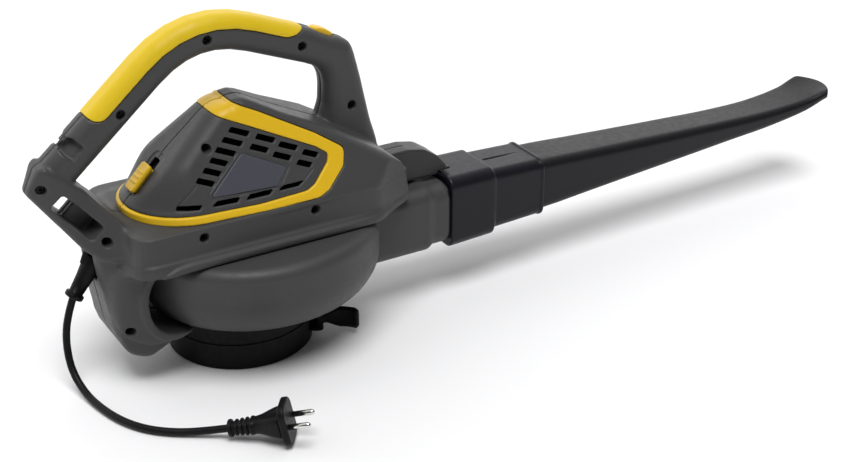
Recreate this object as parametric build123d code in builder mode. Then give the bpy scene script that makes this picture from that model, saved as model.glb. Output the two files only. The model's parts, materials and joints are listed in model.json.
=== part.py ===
from build123d import *
import os
from math import cos, pi, radians, sin

os.makedirs("parts", exist_ok=True)

# Electric leaf blower. +X runs forward along the blower tube, +Y is the user's left, +Z is up.
# The origin is the centre of the intake ring's bottom face, on the surface it stands on.

# ---- driving dimensions, mm ----
WALL = 2.5                      # moulded shell thickness
FIT = 0.35                      # clearance between pieces that move apart

RING_R = 65.5                   # intake ring, outer and inner radius
RING_BORE_R = 59.5
RING_H = 24
COLLAR_TOP = 47.8               # top of the collar between ring and fan housing

VOLUTE_BOTTOM = 48
VOLUTE_TOP = 112
SCROLL_R = 92                   # fan scroll at its tight end
SCROLL_GROWTH = 36              # how much it opens on the way round
SCROLL_START = 120              # degrees, where it begins to open
SCROLL_END = 330
INLET_EYE_R = 50
DUCT_HALF = 36                  # outlet duct, half width
DUCT_END = 186                  # where the duct gives way to the outlet collar
COLLAR_END = 204
COLLAR_W = 66
COLLAR_H = 62
TUBE_Z = 80                     # axis of the outlet collar and the tube's rear end

BEAM_BOTTOM = 114
BEAM_TOP = 150
BEAM_HALF = 66
BEAM_REAR = -113
BEAM_FRONT = 160

COVER_NOSE = -102
COVER_HALF = 63.5               # motor cover, half width at the beam
CREST = 236                     # top of the motor cover
POD_FOOT = 140                  # the cover's tapered sides start below the beam's top
POD_FOOT_HALF = 68
POD_TAPER = 64                  # degrees from level
POD_SIDE = [(COVER_NOSE, 153), (-22, CREST), (10, CREST), (85, 199), (126, 168), (150, 153)]

EYE_REAR = -102                 # rear end of the opening around the fan housing
POST_SIDE = [
    (-136, 140), (-134, 115), (-130, 85), (-125, 50), (-118, 32), (-108, 26), (-60, 26),
    (-60, 140),
]
POST_PLAN = [(-140, -26), (-124, -36), (-100, -47), (-50, -47), (-50, 47), (-100, 47), (-124, 36), (-140, 26)]
ARM_HALF = 19
ARM_SIDE = [
    (-182, 187), (-168, 208), (-152, 216), (-130, 194), (-127, 174), (-112, 154), (-104, 142),
    (-104, 124), (-135, 124), (-144, 134),
]

HANDLE_W = 32
HANDLE_H = 31
HANDLE_PATH = [(-152, 198), (-29, 304.5), (103, 251), (116, 152)]
HANDLE_BENDS = [80, 26]
GRIP_SKIN = 3
GRIP_PARTING = 2                # how far below the section's middle the grip reaches
GRIP_REAR = -117
GRIP_FRONT = 66

SHAFT_R = 4
SHAFT_TIP_R = 3
SCREW_R = 1.5
SCREW_HEAD_R = 3.4
WELL_R = 4                      # sunk screw holes in the right-hand shell
COLLAR_SCREW_R = 56
PLATE_SCREW_R = 43

LATCH_ANGLE = -33               # where the guard's latch sits on the ring
LATCH_PIN_R = 71                # its pin's distance from the ring's axis
LATCH_BORE_R = 1.8
PADDLE_END = 108
HINGE_X = -54.5                 # the guard's hinge pin, along Y inside the ring
HINGE_Z = 4.5
IMPELLER_R = 80
CORE_BOTTOM = 139               # motor laminations
CORE_H = 32
COMMUTATOR_BOTTOM = 179
BRUSH_Z = 185
BRACKET_BOTTOM = 193
ROTOR_R = 24
COMMUTATOR_R = 12
BEARING_R = 11
TIE_R = 38.5                    # the motor's two long screws, from the shaft
TIE_SCREW_R = 2

TUBE_WALL = 2
SPIGOT_STATIONS = [(187, 80, 60.3, 56.3, 14), (207, 80, 60.3, 56.3, 14)]
TUBE_STATIONS = [
    (206, 80, 68, 72, 19), (254, 80.5, 66.5, 70, 18), (258, 81, 62, 62, 16), (314, 81.5, 60.5, 58, 16),
]
TUBE_BORE_STATIONS = [
    (186, 80, 60.3, 56.3, 14), (212, 80, 60.3, 56.3, 14), (254, 80.5, 62, 60, 16), (315, 81.5, 60.5, 58, 16),
]
NOZZLE_STATIONS = [
    (288, 81.5, 55.6, 53.2, 14), (314.5, 81.5, 55.6, 53.2, 14), (440, 82.5, 51, 38, 13),
    (560, 84, 47, 24, 9), (620, 86.5, 48, 18, 7), (660, 91.5, 51, 14, 6), (704, 101, 55, 10, 4.9),
]
NOZZLE_BORE_STATIONS = [
    (287, 81.5, 55.6, 53.2, 14), (314.5, 81.5, 55.6, 53.2, 14), (440, 82.5, 51, 38, 13),
    (560, 84, 47, 24, 9), (620, 86.5, 48, 18, 7), (660, 91.5, 51, 14, 6), (705, 101.2, 55, 10, 4.9),
]

BOOT_L = 29
PLUG_FLANGE_R = 18.5

CORD_R = 3.25
CORD_POINTS = [
    (-151, 0, 79.5), (-158.5, 0, 61.5), (-163, -4, 38.5), (-163.5, -14, 17.5), (-160, -34, 5),
    (-156, -58, 3.5), (-149, -84, 3.4), (-137, -106, 3.4), (-121, -122, 3.5), (-101, -135, 4.2),
    (-80, -150.5, 9.5),
]

# sunk housing screws: position in the side view and the shell's half width there
HOUSING_SCREWS = [
    (-170, 189, 19), (-127, 140, 19), (-54, 138, 65.5), (49, 138, 65.5), (-117, 56, 38.5),
    (-99, 240, 14), (-20, 289, 14), (66, 268, 14), (112, 205, 14),
]
COVER_SCREW = (-39, 207, 34)

# the yellow band, seen from the side: cover inside the inner line, frame outside the outer line
BAND_INNER = [(-130, 157.5), (43, 157.5), (70, 176), (64, 187), (-27, 231), (-27, 270), (-130, 270)]
BAND_OUTER = [(-130, 149), (56, 149), (86, 173), (77, 191), (-7, 236.5), (-7, 270), (-130, 270)]


BADGE_SIDE = [(-39, 167), (22, 166), (31, 177), (27, 181), (-6, 194), (-14, 192), (-36, 173)]

SCREW_SEAT = 8                  # depth of the wells' bottoms, from the middle plane
SCREW_REACH = 12                # how far the screws reach into the left-hand shell

BUTTON_L = 24
BUTTON_W = 13
BUTTON_PLANE = Plane(origin=(91, 0, 272.5), x_dir=(0.905, 0, -0.425), z_dir=(0.425, 0, 0.905))
SELECTOR_PLANE = Plane(origin=(-82, 0, 173.75), x_dir=(0.694, 0, 0.72), z_dir=(-0.72, 0, 0.694))
RELEASE_HALF = 13
RELEASE_PIVOT = (152, 128)


def side_prism(points, half_width):
    """A closed outline in the side view, extruded to both sides of the middle plane."""
    with BuildPart() as solid:
        with BuildSketch(Plane.XZ):
            with BuildLine():
                Polyline(*points, close=True)
            make_face()
        extrude(amount=half_width, both=True)
    return solid.part


# ---- fan housing ----

def scroll_radius(angle):
    """Scroll wall radius; it opens slowly at first, then quickly towards the outlet."""
    if angle <= SCROLL_END:
        turn = (angle - SCROLL_START) / (SCROLL_END - SCROLL_START)
        return SCROLL_R + SCROLL_GROWTH * turn ** 3
    back = (angle - SCROLL_END) / (SCROLL_START + 360 - SCROLL_END)
    return SCROLL_R + SCROLL_GROWTH * (1 - back) ** 2


def volute_solid(inset):
    """The scroll with its outlet duct, shrunk by inset on every side."""
    height = VOLUTE_TOP - VOLUTE_BOTTOM - 2 * inset
    wall = []
    for angle in range(SCROLL_START, SCROLL_START + 360, 30):
        r = scroll_radius(angle) - inset
        wall.append((r * cos(radians(angle)), r * sin(radians(angle))))
    with BuildPart() as scroll:
        with BuildSketch(Plane.XY.offset(VOLUTE_BOTTOM + inset)):
            with BuildLine():
                Spline(*wall, periodic=True)
            make_face()
        extrude(amount=height)
        fillet(scroll.faces().sort_by(Axis.Z)[-1].edges(), 24 - inset)
        fillet(scroll.faces().sort_by(Axis.Z)[0].edges(), 9 - inset)
    with BuildPart() as duct:
        with BuildSketch(Plane.YZ.offset(60)):
            with Locations((0, TUBE_Z)):
                RectangleRounded(2 * (DUCT_HALF - inset), height, 18 - inset)
        extrude(amount=DUCT_END - 60 - inset)
    return scroll.part + duct.part


with BuildPart() as volute:
    add(volute_solid(0))
    add(volute_solid(WALL), mode=Mode.SUBTRACT)
    # inlet eye and collar screws below, motor opening and plate screws above
    with BuildSketch(Plane.XY.offset(VOLUTE_BOTTOM - 1)):
        Circle(INLET_EYE_R)
        with PolarLocations(COLLAR_SCREW_R, 4, start_angle=45):
            Circle(SCREW_R + 0.2)
    extrude(amount=WALL + 2, mode=Mode.SUBTRACT)
    with BuildSketch(Plane.XY.offset(VOLUTE_TOP - WALL - 1)):
        Circle(34)
        with PolarLocations(PLATE_SCREW_R, 4, start_angle=45):
            Circle(SCREW_R + 0.2)
    extrude(amount=WALL + 2, mode=Mode.SUBTRACT)
    # the outlet collar that the blower tube plugs into
    with BuildSketch(Plane.YZ.offset(DUCT_END)):
        with Locations((0, TUBE_Z)):
            RectangleRounded(COLLAR_W, COLLAR_H, 17)
    extrude(amount=COLLAR_END - DUCT_END)
    with BuildSketch(Plane.YZ.offset(DUCT_END - WALL - 1)):
        with Locations((0, TUBE_Z)):
            RectangleRounded(COLLAR_W - 2 * WALL, COLLAR_H - 2 * WALL, 17 - WALL)
    extrude(amount=COLLAR_END - DUCT_END + WALL + 2, mode=Mode.SUBTRACT)

with BuildPart() as volute_right:
    add(volute.part)
    split(bisect_by=Plane.XZ, keep=Keep.TOP)
volute_right.part.label = "volute_right"
export_step(volute_right.part, "parts/volute_right.step")

with BuildPart() as volute_left:
    add(volute.part)
    split(bisect_by=Plane.XZ, keep=Keep.BOTTOM)
volute_left.part.label = "volute_left"
export_step(volute_left.part, "parts/volute_left.step")


# ---- frame: beam, rear post, bracket arm, handle loop and front hump ----

def pod_solid(inset, floor):
    """Motor cover and front hump: a wedge from the side, tapered to the crest, round at the nose."""
    with BuildPart() as solid:
        with BuildSketch(Plane.XZ):
            with BuildLine():
                Polyline(*POD_SIDE, (150, floor), (COVER_NOSE, floor), close=True)
            make_face()
            if inset:
                offset(amount=-inset, kind=Kind.INTERSECTION)
        extrude(amount=COVER_HALF + 20, both=True)
        with BuildSketch(Plane.YZ):
            with Locations((0, POD_FOOT)):
                Trapezoid(2 * POD_FOOT_HALF, CREST - POD_FOOT, POD_TAPER, align=(Align.CENTER, Align.MIN))
            if inset:
                offset(amount=-inset, kind=Kind.INTERSECTION)
        extrude(amount=200, both=True, mode=Mode.INTERSECT)
        with BuildSketch(Plane.XY.offset(100)) as plan:
            with BuildLine():
                Polyline((COVER_NOSE, -COVER_HALF), (105, -COVER_HALF), (150, -40), (150, 40),
                         (105, COVER_HALF), (COVER_NOSE, COVER_HALF), close=True)
            make_face()
            fillet(plan.vertices().group_by(Axis.X)[0], 36)
            if inset:
                offset(amount=-inset, kind=Kind.INTERSECTION)
        extrude(amount=200, mode=Mode.INTERSECT)
    return solid.part


def handle_solid(inset):
    """The handle loop, a rounded bar swept along its path."""
    with BuildPart() as bar:
        with BuildLine(Plane.XZ) as path:
            FilletPolyline(*HANDLE_PATH, radius=HANDLE_BENDS)
        start = Plane(origin=path.line @ 0, x_dir=(0, 1, 0), z_dir=path.line % 0)
        with BuildSketch(start):
            RectangleRounded(HANDLE_W - 2 * inset, HANDLE_H - 2 * inset, 13 - inset)
        sweep(path=path.line)
    return bar.part


def on_handle(run, x):
    """The point at x on one straight run of the handle's path."""
    (x0, z0), (x1, z1) = HANDLE_PATH[run:run + 2]
    return (x, z0 + (z1 - z0) * (x - x0) / (x1 - x0))


def frame_solid(inset):
    """Everything the two frame shells enclose, shrunk by inset on every side; open below the beam."""
    under = 6 if inset else 0
    with BuildPart() as beam:
        with BuildSketch(Plane.XY.offset(BEAM_BOTTOM - under)) as plan:
            with BuildLine():
                Polyline((BEAM_REAR, -BEAM_HALF), (112, -BEAM_HALF), (BEAM_FRONT, -38),
                         (BEAM_FRONT, 38), (112, BEAM_HALF), (BEAM_REAR, BEAM_HALF), close=True)
            make_face()
            fillet(plan.vertices().group_by(Axis.X)[0], 30)
            if inset:
                offset(amount=-inset, kind=Kind.INTERSECTION)
        extrude(amount=BEAM_TOP - BEAM_BOTTOM + under - inset)
    with BuildPart() as post:
        with BuildSketch(Plane.XZ):
            with BuildLine():
                Polyline(*POST_SIDE, close=True)
            make_face()
            if inset:
                offset(amount=-inset, kind=Kind.INTERSECTION)
        extrude(amount=60, both=True)
        with BuildSketch(Plane.XY):
            with BuildLine():
                Polyline(*POST_PLAN, close=True)
            make_face()
            if inset:
                offset(amount=-inset, kind=Kind.INTERSECTION)
        extrude(amount=200, mode=Mode.INTERSECT)
        # the opening that shows the fan housing's rear end, and the seat of the intake collar
        with BuildSketch(Plane.XZ):
            with Locations((EYE_REAR + 70, (VOLUTE_BOTTOM + BEAM_BOTTOM) / 2)):
                RectangleRounded(140 + 2 * inset, BEAM_BOTTOM - VOLUTE_BOTTOM + 1 + 2 * inset, 33)
        extrude(amount=70, both=True, mode=Mode.SUBTRACT)
        with BuildSketch(Plane.XY):
            Circle(RING_R + 0.5 + inset)
        extrude(amount=VOLUTE_BOTTOM + 2, mode=Mode.SUBTRACT)
    with BuildPart() as arm:
        with BuildSketch(Plane.XZ):
            with BuildLine():
                Polyline(*ARM_SIDE, close=True)
            make_face()
            if inset:
                offset(amount=-inset, kind=Kind.INTERSECTION)
        extrude(amount=ARM_HALF - inset, both=True)
    return beam.part + post.part + arm.part + handle_solid(inset if inset == 0 else WALL + GRIP_SKIN)


def wells(part_screws):
    """The sunk holes for side screws: a wide well from the right, a pilot hole through to the left."""
    with BuildPart() as holes:
        for screw in part_screws:
            with BuildSketch(Plane.XZ.offset(SCREW_SEAT)):
                with Locations(screw[:2]):
                    Circle(WELL_R)
            extrude(amount=80)
            with BuildSketch(Plane.XZ.offset(-SCREW_REACH)):
                with Locations(screw[:2]):
                    Circle(SCREW_R + 0.15)
            extrude(amount=SCREW_REACH + SCREW_SEAT)
    return holes.part


def bosses(part_screws):
    """The posts that the side screws run through, from shell to shell."""
    with BuildPart() as posts:
        for x, z, half in part_screws:
            with BuildSketch(Plane.XZ):
                with Locations((x, z)):
                    Circle(WELL_R + 1.8)
            extrude(amount=half - 1, both=True)
    return posts.part


def side_screws(part_screws):
    """Pan-head screws standing in the wells, one solid each."""
    with BuildPart() as screws:
        for screw in part_screws:
            with BuildSketch(Plane.XZ.offset(SCREW_SEAT)):
                with Locations(screw[:2]):
                    Circle(SCREW_HEAD_R)
                    RegularPolygon(1.6, 6, mode=Mode.SUBTRACT)
            extrude(amount=2.4)
            with BuildSketch(Plane.XZ.offset(1 - SCREW_REACH)):
                with Locations(screw[:2]):
                    Circle(SCREW_R)
            extrude(amount=SCREW_REACH - 1 + SCREW_SEAT)
            with BuildSketch(Plane.XZ.offset(SCREW_SEAT)):
                with Locations(screw[:2]):
                    Circle(SCREW_HEAD_R - 0.2)
            extrude(amount=1)
    return screws.part


# the part of the tapered wedge that lies in front of the yellow band
with BuildPart() as hump:
    add(pod_solid(0, BEAM_TOP - 1))
    add(side_prism(BAND_OUTER, 80), mode=Mode.SUBTRACT)

# what the grip skin covers: the upper half of the handle's section along the straight and the bend
with BuildPart() as handle_grip:
    with BuildLine(Plane.XZ) as grip_line:
        FilletPolyline(on_handle(0, GRIP_REAR), HANDLE_PATH[1], on_handle(1, GRIP_FRONT), radius=HANDLE_BENDS[0])
    grip_start = Plane(origin=grip_line.line @ 0, x_dir=(0, 1, 0), z_dir=grip_line.line % 0)
    with BuildSketch(grip_start):
        RectangleRounded(HANDLE_W, HANDLE_H, 13)
        RectangleRounded(HANDLE_W - 2 * GRIP_SKIN, HANDLE_H - 2 * GRIP_SKIN, 13 - GRIP_SKIN, mode=Mode.SUBTRACT)
        with Locations((0, -GRIP_PARTING)):
            Rectangle(HANDLE_W + 2, 30, align=(Align.CENTER, Align.MAX), mode=Mode.SUBTRACT)
    sweep(path=grip_line.line)
handle_grip.part.label = "handle_grip"
export_step(handle_grip.part, "parts/handle_grip.step")

with BuildPart() as frame:
    add(frame_solid(0))
    add(hump.part)
    add(frame_solid(WALL), mode=Mode.SUBTRACT)
    add(pod_solid(WALL, BEAM_TOP - WALL - 4), mode=Mode.SUBTRACT)
    add(bosses(HOUSING_SCREWS))
    add(volute_solid(-1), mode=Mode.SUBTRACT)
    add(handle_grip.part, mode=Mode.SUBTRACT)
    add(wells(HOUSING_SCREWS), mode=Mode.SUBTRACT)
    # cable restraint slot through the bracket arm
    with BuildSketch(Plane.XZ):
        with Locations(Location((-147, 163), -48)):
            RectangleRounded(40, 15, 3)
    extrude(amount=30, both=True, mode=Mode.SUBTRACT)
    # window at the rear where the cord comes out
    with Locations((-135, 0, 117)):
        Box(32, 18, 32, mode=Mode.SUBTRACT)
    # strap pockets on both sides of the handle's rear end
    with BuildSketch(Plane.XZ.offset(HANDLE_W / 2 - 7)):
        with Locations(Location((-141, 211), 41)):
            RectangleRounded(15, 12, 3)
    extrude(amount=20, mode=Mode.SUBTRACT)
    with BuildSketch(Plane.XZ.offset(7 - HANDLE_W / 2)):
        with Locations(Location((-141, 211), 41)):
            RectangleRounded(15, 12, 3)
    extrude(amount=-20, mode=Mode.SUBTRACT)
    # hole for the speed button, and for the tube release lever
    with BuildSketch(BUTTON_PLANE.offset(6)):
        SlotOverall(BUTTON_L + 2 * FIT, BUTTON_W + 2 * FIT)
    extrude(amount=-15, mode=Mode.SUBTRACT)
    with Locations((156, 0, 140)):
        Box(34, 2 * RELEASE_HALF + 2 * FIT, 60, mode=Mode.SUBTRACT)
    with BuildSketch(Plane.XZ):
        with Locations(RELEASE_PIVOT):
            Circle(2.05)
    extrude(amount=30, both=True, mode=Mode.SUBTRACT)

with BuildPart() as housing_right:
    add(frame.part)
    split(bisect_by=Plane.XZ, keep=Keep.TOP)
housing_right.part.label = "housing_right"
export_step(housing_right.part, "parts/housing_right.step")

with BuildPart() as housing_left:
    add(frame.part)
    split(bisect_by=Plane.XZ, keep=Keep.BOTTOM)
housing_left.part.label = "housing_left"
export_step(housing_left.part, "parts/housing_left.step")
print("housing solids", len(housing_right.part.solids()), len(housing_left.part.solids()))


# ---- motor cover and its yellow band ----

with BuildPart() as cover:
    add(pod_solid(0, BEAM_TOP))
    add(pod_solid(WALL, BEAM_TOP - 4), mode=Mode.SUBTRACT)
    add(bosses([COVER_SCREW]))
    add(side_prism(BAND_INNER, 80), mode=Mode.INTERSECT)
    add(wells([COVER_SCREW]), mode=Mode.SUBTRACT)
    # cooling slots: six short ones at the rear, two rows of three, and a slanted row along the bottom
    with BuildSketch(Plane.XZ):
        for step in range(6):
            with Locations(Location((-4 - 8.2 * step, 209 - 5.9 * step), -22)):
                RectangleRounded(15, 3.6, 1.2)
        for column in range(3):
            with Locations(Location((18 + 18 * column, 201 - 9 * column), -27)):
                RectangleRounded(15, 4, 1.2)
            with Locations(Location((11 + 18 * column, 194 - 8.5 * column), -25)):
                RectangleRounded(15, 4, 1.2)
        for column in range(4):
            with Locations((-62 + 31 * column, 163)):
                RectangleRounded(22, 4.2, 1.2)
    extrude(amount=80, both=True, mode=Mode.SUBTRACT)
    # slot for the selector slide, on the nose slope
    with BuildSketch(SELECTOR_PLANE.offset(2)):
        with Locations((4.5, 0)):
            RectangleRounded(35, 10.6, 2)
    extrude(amount=-10, mode=Mode.SUBTRACT)

with BuildPart() as motor_cover_right:
    add(cover.part)
    split(bisect_by=Plane.XZ, keep=Keep.TOP)
motor_cover_right.part.label = "motor_cover_right"
export_step(motor_cover_right.part, "parts/motor_cover_right.step")

with BuildPart() as motor_cover_left:
    add(cover.part)
    split(bisect_by=Plane.XZ, keep=Keep.BOTTOM)
motor_cover_left.part.label = "motor_cover_left"
export_step(motor_cover_left.part, "parts/motor_cover_left.step")

with BuildPart() as band:
    add(pod_solid(-0.8, BEAM_TOP))
    add(pod_solid(WALL, BEAM_TOP - 4), mode=Mode.SUBTRACT)
    add(side_prism(BAND_OUTER, 80), mode=Mode.INTERSECT)
    add(side_prism(BAND_INNER, 80), mode=Mode.SUBTRACT)
    with BuildSketch(Plane.XY.offset(BEAM_TOP)):
        Rectangle(400, 200)
    extrude(amount=-10, mode=Mode.SUBTRACT)

with BuildPart() as trim_band_right:
    add(band.part)
    split(bisect_by=Plane.XZ, keep=Keep.TOP)
trim_band_right.part.label = "trim_band_right"
export_step(trim_band_right.part, "parts/trim_band_right.step")

with BuildPart() as trim_band_left:
    add(band.part)
    split(bisect_by=Plane.XZ, keep=Keep.BOTTOM)
trim_band_left.part.label = "trim_band_left"
export_step(trim_band_left.part, "parts/trim_band_left.step")
print("cover, band", len(motor_cover_right.part.solids()), len(trim_band_right.part.solids()))

# plain plates on both sides of the cover
with BuildPart() as badge:
    add(pod_solid(-1, BEAM_TOP))
    add(pod_solid(-FIT / 10, BEAM_TOP - 4), mode=Mode.SUBTRACT)
    add(side_prism(BADGE_SIDE, 80), mode=Mode.INTERSECT)

with BuildPart() as badge_right:
    add(badge.part)
    split(bisect_by=Plane.XZ, keep=Keep.TOP)
badge_right.part.label = "badge_right"
export_step(badge_right.part, "parts/badge_right.step")

with BuildPart() as badge_left:
    add(badge.part)
    split(bisect_by=Plane.XZ, keep=Keep.BOTTOM)
badge_left.part.label = "badge_left"
export_step(badge_left.part, "parts/badge_left.step")

with BuildPart() as housing_screws:
    add(side_screws(HOUSING_SCREWS))
housing_screws.part.label = "housing_screws"
export_step(housing_screws.part, "parts/housing_screws.step")

with BuildPart() as cover_screw:
    add(side_screws([COVER_SCREW]))
cover_screw.part.label = "cover_screw"
export_step(cover_screw.part, "parts/cover_screw.step")


# ---- intake: collar, ring, hinged guard and its latch ----

with BuildPart() as intake_collar:
    with BuildSketch(Plane.XY.offset(RING_H)):
        Circle(RING_R - 1)
        Circle(RING_BORE_R, mode=Mode.SUBTRACT)
    extrude(amount=COLLAR_TOP - RING_H)
    with BuildSketch(Plane.XY.offset(COLLAR_TOP - 4)):
        Circle(RING_R - 2)
        Circle(INLET_EYE_R, mode=Mode.SUBTRACT)
        with PolarLocations(COLLAR_SCREW_R, 4, start_angle=45):
            Circle(SCREW_R - 0.2, mode=Mode.SUBTRACT)
    extrude(amount=4)
intake_collar.part.label = "intake_collar"
export_step(intake_collar.part, "parts/intake_collar.step")

with BuildPart() as collar_screws:
    with BuildSketch(Plane.XY.offset(VOLUTE_BOTTOM + WALL)):
        with PolarLocations(COLLAR_SCREW_R, 4, start_angle=45):
            Circle(SCREW_HEAD_R)
    extrude(amount=2.2)
    with BuildSketch(Plane.XY.offset(COLLAR_TOP - 3)):
        with PolarLocations(COLLAR_SCREW_R, 4, start_angle=45):
            Circle(SCREW_R - 0.25)
    extrude(amount=VOLUTE_BOTTOM + WALL - COLLAR_TOP + 3)
collar_screws.part.label = "collar_screws"
export_step(collar_screws.part, "parts/collar_screws.step")

latch_x = LATCH_PIN_R * cos(radians(LATCH_ANGLE))
latch_y = LATCH_PIN_R * sin(radians(LATCH_ANGLE))
with BuildPart() as intake_ring:
    with BuildSketch():
        Circle(RING_R)
        Circle(RING_BORE_R, mode=Mode.SUBTRACT)
    extrude(amount=RING_H)
    fillet(intake_ring.edges().filter_by(GeomType.CIRCLE).sort_by(Axis.Z)[:2], 1)
    # two ears that hold the latch's pin, and the slot its nose reaches through
    for low in (5, 18):
        with BuildSketch(Plane.XY.offset(low)):
            with Locations(Location((0, 0), LATCH_ANGLE)):
                with Locations((LATCH_PIN_R - 4, 0)):
                    SlotOverall(18, 9.5)
            Circle(RING_R - 1, mode=Mode.SUBTRACT)
        extrude(amount=3)
    with BuildSketch(Plane.XY.offset(8)):
        with Locations(Location((0, 0), LATCH_ANGLE)):
            with Locations((RING_R - 3, 0)):
                Rectangle(14, 24)
    extrude(amount=10, mode=Mode.SUBTRACT)
    with BuildSketch(Plane.XY.offset(4)):
        with Locations((latch_x, latch_y)):
            Circle(LATCH_BORE_R)
    extrude(amount=18, mode=Mode.SUBTRACT)
    # lugs for the guard's hinge pin, just inside the ring's rear
    with BuildSketch(Plane.XY.offset(1)):
        with Locations((HINGE_X - 1, -13.5), (HINGE_X - 1, 13.5)):
            Rectangle(9, 4)
        Circle(RING_BORE_R + 0.5, mode=Mode.INTERSECT)
    extrude(amount=6)
    with BuildSketch(Plane.XZ.offset(-20)):
        with Locations((HINGE_X, HINGE_Z)):
            Circle(1.55)
    extrude(amount=40, mode=Mode.SUBTRACT)
intake_ring.part.label = "intake_ring"
export_step(intake_ring.part, "parts/intake_ring.step")

with BuildPart() as guard_grille:
    with BuildSketch(Plane.XY.offset(HINGE_Z - 1.5)):
        Circle(58.2)
        Circle(54, mode=Mode.SUBTRACT)
        for r in (18, 30, 42):
            Circle(r + 1)
            Circle(r - 1, mode=Mode.SUBTRACT)
        with PolarLocations(0, 8, start_angle=22.5):
            with Locations((32, 0)):
                Rectangle(48, 2)
        Circle(9)
        with Locations((-54, 0)):
            Rectangle(20, 90, mode=Mode.SUBTRACT)
        with Locations((-42.5, 0)):
            Rectangle(3, 73)
        with Locations((-48.5, 0)):
            Rectangle(13, 20)
    extrude(amount=3)
    with BuildSketch(Plane.XZ.offset(-10)):
        with Locations((HINGE_X, HINGE_Z)):
            Circle(3)
    extrude(amount=20)
    with BuildSketch(Plane.XZ.offset(-12)):
        with Locations((HINGE_X, HINGE_Z)):
            Circle(1.55)
    extrude(amount=24, mode=Mode.SUBTRACT)
guard_grille.part.label = "guard_grille"
export_step(guard_grille.part, "parts/guard_grille.step")

with BuildPart() as guard_pin:
    with BuildSketch(Plane.XZ.offset(-15.5)):
        with Locations((HINGE_X, HINGE_Z)):
            Circle(1.5)
    extrude(amount=31)
guard_pin.part.label = "guard_pin"
export_step(guard_pin.part, "parts/guard_pin.step")

with BuildPart() as guard_latch:
    # hub on the pin, nose through the ring's wall, and the thumb paddle outside
    with BuildSketch(Plane.XY.offset(8 + FIT)):
        with Locations((latch_x, latch_y)):
            Circle(4.5)
        with Locations(Location((0, 0), LATCH_ANGLE)):
            with Locations((LATCH_PIN_R - 5.5, 0)):
                Rectangle(11, 5)
        with Locations((latch_x, latch_y)):
            Circle(LATCH_BORE_R, mode=Mode.SUBTRACT)
    extrude(amount=10 - 2 * FIT)
    with BuildSketch(Plane.XY.offset(7)):
        with Locations(Location((0, 0), LATCH_ANGLE)):
            with Locations(((LATCH_PIN_R + 10 + PADDLE_END) / 2, 0)):
                Rectangle(PADDLE_END - LATCH_PIN_R - 10, 6)
    extrude(amount=17)
    with BuildSketch(Plane.XY.offset(8 + FIT)):
        with Locations(Location((0, 0), LATCH_ANGLE)):
            with Locations((LATCH_PIN_R + 8, 0)):
                Rectangle(9, 6)
    extrude(amount=10 - 2 * FIT)
    paddle_corners = guard_latch.edges().filter_by(Axis.Z).sort_by_distance((0, 0, 15))[-2:]
    fillet(paddle_corners, 2.5)
guard_latch.part.label = "guard_latch"
export_step(guard_latch.part, "parts/guard_latch.step")

with BuildPart() as latch_pin:
    with BuildSketch(Plane.XY.offset(4.5)):
        with Locations((latch_x, latch_y)):
            Circle(LATCH_BORE_R - 0.05)
    extrude(amount=17)
latch_pin.part.label = "latch_pin"
export_step(latch_pin.part, "parts/latch_pin.step")


# ---- rotor: impeller, shaft, cooling fan, armature and commutator ----

with BuildPart() as impeller:
    with BuildSketch(Plane.XY.offset(88)):
        Circle(11)
    extrude(amount=17)
    with BuildSketch(Plane.XY.offset(98)):
        Circle(IMPELLER_R)
    extrude(amount=2)
    with BuildSketch(Plane.XY.offset(64)):
        Circle(IMPELLER_R)
        Circle(INLET_EYE_R, mode=Mode.SUBTRACT)
    extrude(amount=1.6)
    # backward-curved blades between the back plate and the inlet ring
    with BuildSketch(Plane.XY.offset(65)):
        with PolarLocations(0, 9):
            with BuildLine():
                ThreePointArc((34, 0), (58, 9), (76, 24))
            trace(line_width=2)
    extrude(amount=34)
    with BuildSketch(Plane.XY.offset(60)):
        Circle(SHAFT_R)
    extrude(amount=60, mode=Mode.SUBTRACT)
impeller.part.label = "impeller"
export_step(impeller.part, "parts/impeller.step")

with BuildPart() as impeller_nut:
    with BuildSketch(Plane.XY.offset(81)):
        RegularPolygon(7.5, 6)
        Circle(SHAFT_R, mode=Mode.SUBTRACT)
    extrude(amount=7)
impeller_nut.part.label = "impeller_nut"
export_step(impeller_nut.part, "parts/impeller_nut.step")

with BuildPart() as motor_shaft:
    with BuildSketch(Plane.XY.offset(79)):
        Circle(SHAFT_R)
    extrude(amount=BRACKET_BOTTOM - 79)
    with BuildSketch(Plane.XY.offset(BRACKET_BOTTOM)):
        Circle(SHAFT_TIP_R)
    extrude(amount=10)
    chamfer(motor_shaft.faces().sort_by(Axis.Z)[0].edges(), 0.6)
motor_shaft.part.label = "motor_shaft"
export_step(motor_shaft.part, "parts/motor_shaft.step")

with BuildPart() as cooling_fan:
    with BuildSketch(Plane.XY.offset(119)):
        Circle(33)
    extrude(amount=2)
    with BuildSketch(Plane.XY.offset(119)):
        Circle(9)
    extrude(amount=12)
    with BuildSketch(Plane.XY.offset(121)):
        with PolarLocations(22.5, 11):
            Rectangle(19, 1.6)
    extrude(amount=9)
    with BuildSketch(Plane.XY.offset(118)):
        Circle(SHAFT_R)
    extrude(amount=20, mode=Mode.SUBTRACT)
cooling_fan.part.label = "cooling_fan"
export_step(cooling_fan.part, "parts/cooling_fan.step")

with BuildPart() as armature_core:
    with BuildSketch(Plane.XY.offset(CORE_BOTTOM)):
        Circle(ROTOR_R)
        with PolarLocations(ROTOR_R - 5, 12):
            Rectangle(7, 3.4, mode=Mode.SUBTRACT)
        with PolarLocations(ROTOR_R - 1, 12):
            Rectangle(4, 1.6, mode=Mode.SUBTRACT)
        Circle(SHAFT_R, mode=Mode.SUBTRACT)
    extrude(amount=CORE_H)
armature_core.part.label = "armature_core"
export_step(armature_core.part, "parts/armature_core.step")

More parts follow.
